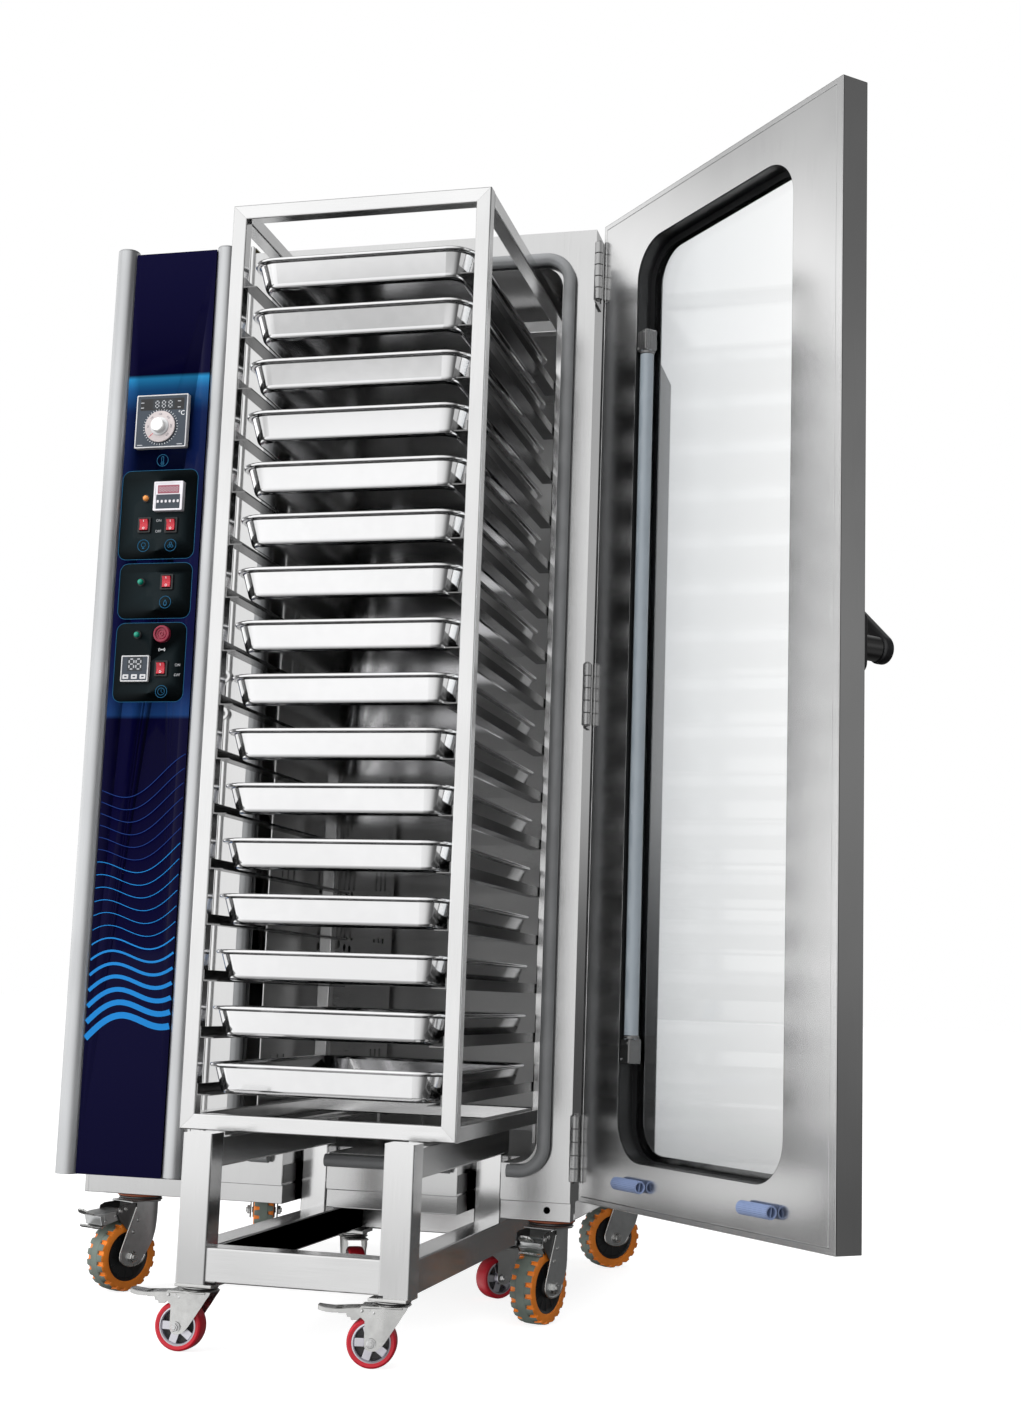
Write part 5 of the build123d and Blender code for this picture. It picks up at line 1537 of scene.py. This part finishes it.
# Red tyre on an aluminium hub with a rim bead and five broad arms
def redTyre(w):
    r, h = w["radius"], w["half"]
    tyre = wheelRing([(r - 8.4, -h + 1.4), (r - 7.6, -h + 0.5), (r - 3.4, -h), (r - 1.0, -h + 1.8), (r - 0.2, -h + 5),
                      (r, -h + 9)], 72)
    rim = wheelRing([(r - 12.4, -h + 4), (r - 11.4, -h + 1.6), (r - 10.2, -h + 0.6), (r - 8.2, -h + 1.2)], 64,
                    finish=1)
    boss = wheelRing([(w["axle"] + 0.3, -h - 2.6), (9.6, -h - 2.6), (10.6, -h - 1.2), (11.4, -h + 3), (13.2, -h + 6)],
                     40, finish=1)
    # Painted shade: a near-black disc between the arms fills the hub's windows
    web = wheelRing([(11, -3), (r - 11.4, -3)], 48, finish=2)
    sides = [(-6.4, 6.4, y0, y1, 10.5, r - 11.8) for y0, y1 in ((-h + 3.4, -2.9), (2.9, h - 3.4))]
    arms = tinted(turnedAround(blocks(*sides, round=0.9), 5, 18), 1)
    return [tyre, rim, boss, web, arms]


# A fork leg pressed from sheet: rows of (height, front edge, back edge), bent inwards behind the crease
def forkLeg(w, side, rows, bend):
    y = w["half"] + 4 + w["cheek"]
    crease = w["crease"]
    bm = bmesh.new()
    grid = []
    for z, front, back in rows:
        split = min(max(crease, back + 0.3 * (front - back)), front - 0.1)
        xs = [front + (split - front) * i / 3 for i in range(4)] + [split + (back - split) * i / 9
                                                                    for i in range(1, 10)]
        grid.append([bm.verts.new((x, side * (y - bend(x)), z)) for x in xs])
    for p, q in zip(grid, grid[1:]):
        for i in range(len(p) - 1):
            bm.faces.new((p[i], p[i + 1], q[i + 1], q[i]) if side > 0 else (p[i], q[i], q[i + 1], p[i + 1]))
    bmesh.ops.solidify(bm, geom=list(bm.faces), thickness=w["cheek"] - 0.6)
    bmesh.ops.recalc_face_normals(bm, faces=bm.faces)
    return toMesh(bm)


def orangeBend(x):
    back = max(0.0, min(1.0, (orangeWheel["crease"] - x) / 42.5))
    return 21.0 * (1 - math.sqrt(max(0.0, 1 - back * back)))


def redBend(x):
    return 0.10 * max(0.0, x - redWheel["crease"]) + 0.05 * max(0.0, redWheel["crease"] - x)


orangeLeg = ((158.6, 31, -29), (149, 31, -29), (135, 36.5, -27.5), (120, 42.4, -24), (105, 48.3, -20),
             (89.5, 54.4, -13), (80, 58, -5.5), (70, 61.5, 2), (64, 62, 6), (58, 60.4, 9),
             (53, 56, 13.5), (49.6, 50, 20), (47.4, 42.5, 28), (47, 37, 33))
redLeg = ((90.8, 44, -24.7), (88, 46, -24), (84, 52, -21.5), (79, 51, -18), (74, 44, -15), (69, 38.5, -12),
          (60, 38.2, -6), (50, 38.2, 0.4), (40, 38.2, 6.8), (33, 37.6, 12.5),
          (29, 35.2, 17.5), (27, 31.6, 22.6), (26.4, 29, 27))


# The bright folded edge of a leg, from the crown down the front and round under the axle
def forkEdge(w, side, rows):
    y = side * (w["half"] + 4 + w["cheek"] - 0.4)
    path = [(front + 0.4, y, z) for z, front, back in rows[1:]] + [(back, y, z) for z, front,
                                                                   back in reversed(rows[-6:-1])]
    return tinted(swept(path, roundedLoop(2.0, 1.5, 1.3, 3), alongY), 3)


# Side plate of the brake, riveted inside the leg
def brakeCheek(w, side):
    y = w["half"] + 4
    outline = [(26, 157), (60, 154.5), (70, 150), (72, 138), (66, 128), (48, 110), (38, 112), (26, 130)]
    return tinted(moved(stoodSheet([outline], 2.0, -1.0, 0.5, 1), at(0, side * (y + 1.2), 0)), 1)


def wheelBolt(w, side):
    r, trail = w["radius"], w["trail"]
    face = side * (w["half"] + 4 + w["cheek"])
    s = w["axle"] / 6
    washer = lathe([(0, 0), (11.5 * s, 0), (11.5 * s, 1.2 * s), (0, 1.2 * s)], (trail, face, r), (0, side, 0), 28)
    nut = hexHead((trail, face + side * 1.2 * s, r), (0, side, 0), 17 * s, 6.2 * s)
    stud = lathe([(0, 0), (5.2 * s, 0), (5.2 * s, 9.0 * s), (4.4 * s, 9.8 * s), (0, 9.8 * s)], (trail, face, r),
                 (0, side, 0), 20)
    return [washer, nut, stud]


def rivet(x, y, z, side, size):
    return lathe([(0, 0), (size, 0), (size * 0.92, size * 0.3), (size * 0.5, size * 0.55), (0, size * 0.62)],
                 (x, y, z), (0, side, 0), 16)


def casterFork(w, kind, braked):
    top, race, h = w["top"], w["race"], w["half"]
    orange = kind == "orange"
    outside = h + 4 + w["cheek"]
    upper = [(0, top - 2.6), (race - 3, top - 2.6), (race - 1.0, top - 2.2), (race - 1.0, top - 1.2),
             (race - 4, top - 0.2), (0, top - 0.2)]
    # Painted shade: a black ring fills the gap between the race plates
    gap = [(0, top - 4.4), (race - 4.4, top - 4.4), (race - 4.4, top - 2.5), (0, top - 2.5)]
    lower = [(0, top - 8), (race - 5, top - 8), (race - 1.4, top - 7.2), (race, top - 5.8), (race - 1.2, top - 4.6),
             (race - 4, top - 4.2), (0, top - 4.2)]
    crown = blocks((-race * 0.60, 42 if orange else 44, -outside, outside, top - 10.6, top - 7.4), round=1.2, steps=3)
    parts = [lathe(upper, origin, alongZ, 56, finish=1), lathe(gap, origin, alongZ, 48, finish=2),
             lathe(lower, origin, alongZ, 56), crown]
    if orange:
        parts.append(blocks((-31.4, -28.6, -12, 12, 134, 158.4), round=1.0, steps=2))
    rows = orangeLeg if orange else redLeg
    # Where rivets sit: x, z, how far under the leg's face, and their radius
    if orange:
        rivets = ((66, 144, 1.8, 4.2), (55, 147, 1.8, 4.2), (26, 126.5, 0, 3.4), (36, 106, 0, 3.4))
    else:
        rivets = ((w["along"] + 11, w["up"] - 1, 2.0, 2.3), (w["along"] - 7, w["up"] - 3, 2.0, 2.3))
    for side in (-1, 1):
        parts.append(forkLeg(w, side, rows, orangeBend if orange else redBend))
        parts += [tinted(m, 3) for m in wheelBolt(w, side)]
        if orange:
            parts.append(forkEdge(w, side, rows))
        if braked and orange:
            parts.append(brakeCheek(w, side))
        for x, z, under, size in rivets if braked else ():
            parts.append(tinted(rivet(x, side * outside - side * under, z, side, size), 3))
    parts.append(lathe(bothSides([(0, -h - 4.5), (w["axle"], -h - 4.5)]), (w["trail"], 0, w["radius"]), alongY, 24,
                       finish=3))
    if braked:
        parts.append(lathe(bothSides([(0, -h - 6), (w["axle"] / 2, -h - 6)]), (w["along"], 0, w["up"]), alongY, 16,
                           finish=3))
    return joined(*parts)


# A bent plate on stations of (along, height, half width), its long edges turned down
def footPlate(stations, thick, skirt=0.0, finish=0):
    bm = bmesh.new()
    rows = []
    for x, z, half in stations:
        low = skirt * min(1.0, half / 8)
        across = [(-half, -low), (-half, -0.9), (-half + 1.1, 0), (0, 0.25), (half - 1.1, 0), (half, -0.9),
                  (half, -low)]
        rows.append([bm.verts.new((x, y, z + dz)) for y, dz in across])
    for p, q in zip(rows, rows[1:]):
        for i in range(6):
            bm.faces.new((p[i], p[i + 1], q[i + 1], q[i]))
    bmesh.ops.recalc_face_normals(bm, faces=bm.faces)
    if sum(face.normal.z for face in bm.faces) < 0:
        bmesh.ops.reverse_faces(bm, faces=bm.faces)
    bmesh.ops.solidify(bm, geom=list(bm.faces), thickness=thick)
    bmesh.ops.recalc_face_normals(bm, faces=bm.faces)
    for face in bm.faces:
        face.material_index = finish
    return toMesh(bm)


# Brake pedal: a bent blade with a bright turned-up tip; the oven's has a box below it with a second lip to let go
def brakePedal(w, kind, reach):
    h, x, z = w["half"] + 2.8, w["along"], w["up"]

    # Stations of (along, height, half width) from the pivot, or from the blade's shoulder
    def fromPivot(points):
        return [(x + dx, z + dz, *rest) for dx, dz, *rest in points]

    def sidePlates(outline):
        return [moved(stoodSheet([outline], 2.0, -1.0, 0.5, 1), at(0, side * (h - 1.1), 0)) for side in (-1, 1)]

    if kind == "orange":
        s = reach - 28 - x  # the shoulder, where the blade narrows
        blade = footPlate(fromPivot([(-3, 4.5, h), (12, 5.0, h), (s - 12, 2.2, h), (s, 0.6, h - 2),
                                     (s + 6, -0.4, h - 7), (s + 11, -0.2, 15.5)]), 2.4, 3.5)
        tip = footPlate(fromPivot([(s + 10, -0.3, 15.6), (s + 17, 1.6, 15.0), (s + 23, 4.6, 14.0),
                                   (s + 26.4, 7.6, 11.5), (s + 28, 8.9, 8.0)]), 2.6, 3.2, 1)
        box = fromPivot([(9, 1.0), (s - 5, -1.2), (s + 3, -4.5), (s - 2, -21.5), (16, -13.0), (6, -9.0)])
        body = toMesh(skinned([[(a, side * (h - 1.2), c) for a, c in box] for side in (-1, 1)]), round=1.6, steps=2,
                      limit=30)
        lip = footPlate(fromPivot([(s - 14, -19.5, h - 4), (s - 2, -22.6, h - 4), (s + 8, -23.0, h - 5),
                                   (s + 15, -20.6, h - 7), (s + 17, -19.0, h - 9)]), 3.0, 3.4, 1)
        ears = sidePlates(fromPivot([(-6, 4), (-6, -5), (4, -9), (16, -13), (s - 8, -20), (s - 4, -3), (12, 4.4)]))
        pins = [tinted(rivet(x + dx, side * (h - 0.2), z + dz, side, 2.6), 1) for side in (-1, 1) for dx,
                dz in ((24, -5), (s - 8, -14))]
        parts = [blade, tip, body, lip, *ears, *pins]
    else:
        end = reach - x
        blade = footPlate(fromPivot([(-4, 3.6, h), (14, 3.4, h), (34, 2.2, h), (46, 1.4, h - 1)]), 2.0, 7.5)
        tip = footPlate(fromPivot([(46, 1.4, h - 1), (56, 1.0, h - 1.5), (end - 13, 1.6, h - 2),
                                   (end - 6, 2.6, h - 3.5), (end - 1.4, 3.6, h - 6),
                                   (end, 3.8, h - 9)]), 2.4, 6.5)
        hooks = sidePlates(fromPivot([(-4, 2), (-4, -5), (10, -8), (17, -14), (27, -15), (28, -11), (33, -10.5),
                                      (35, -4), (30, 1.0)]))
        parts = [blade, tip, *hooks]
    hub = lathe(bothSides([(w["axle"] / 2 + 0.2, -h), (4.6, -h)]), (x, 0, z), alongY, 24, closed=True)
    return joined(hub, *parts)


def casterSet(prefix, casters, w, kind, tyreMaterials, forkMaterials):
    wheel = joined(*(orangeTyre(w) + orangeHub(w) if kind == "orange" else redTyre(w)))
    wheel = moved(wheel, at(w["trail"], 0, w["radius"]))
    for place, caster in casters.items():
        turned = at(caster["x"], caster["y"], 0) @ spun(caster["turn"], "Z")
        pieces = {"wheel": (copied(wheel, turned), tyreMaterials),
                  "fork": (moved(casterFork(w, kind, caster["pedal"] > 0), turned), forkMaterials)}
        if caster["pedal"]:
            pieces["pedal"] = (moved(brakePedal(w, kind, caster["pedal"]), turned), [forkMaterials[0], zincPlate])
        for part, (mesh, materials) in pieces.items():
            node = f"{prefix}_brake_pedal_{place}" if part == "pedal" else f"{prefix}_caster_{part}_{place}"
            settle(f"{prefix}{part.capitalize()}_{place}", mesh, materials, f"{prefix}_{part}_{place}", [node],
                   crisp=36)


# Painted shade: near-black for the web that fills the windows between the red hub's arms
hubWindowShade = mouldedSkin("hubWindowShade", (0.035, 0.033, 0.035), 0.4, depth=0.1)
casterSet("oven", ovenCasters, orangeWheel, "orange", [orangeRubber, treadGrey, hubPlastic],
          [greyPlate, darkZincAndShade, blackPlasticAndShade, zincPlate])
casterSet("trolley", trolleyCasters, redWheel, "red", [redRubber, hubMetal, hubWindowShade],
          [zincPlate, zincPlate, blackPlasticAndShade, chromeBolt])
print("casters made")
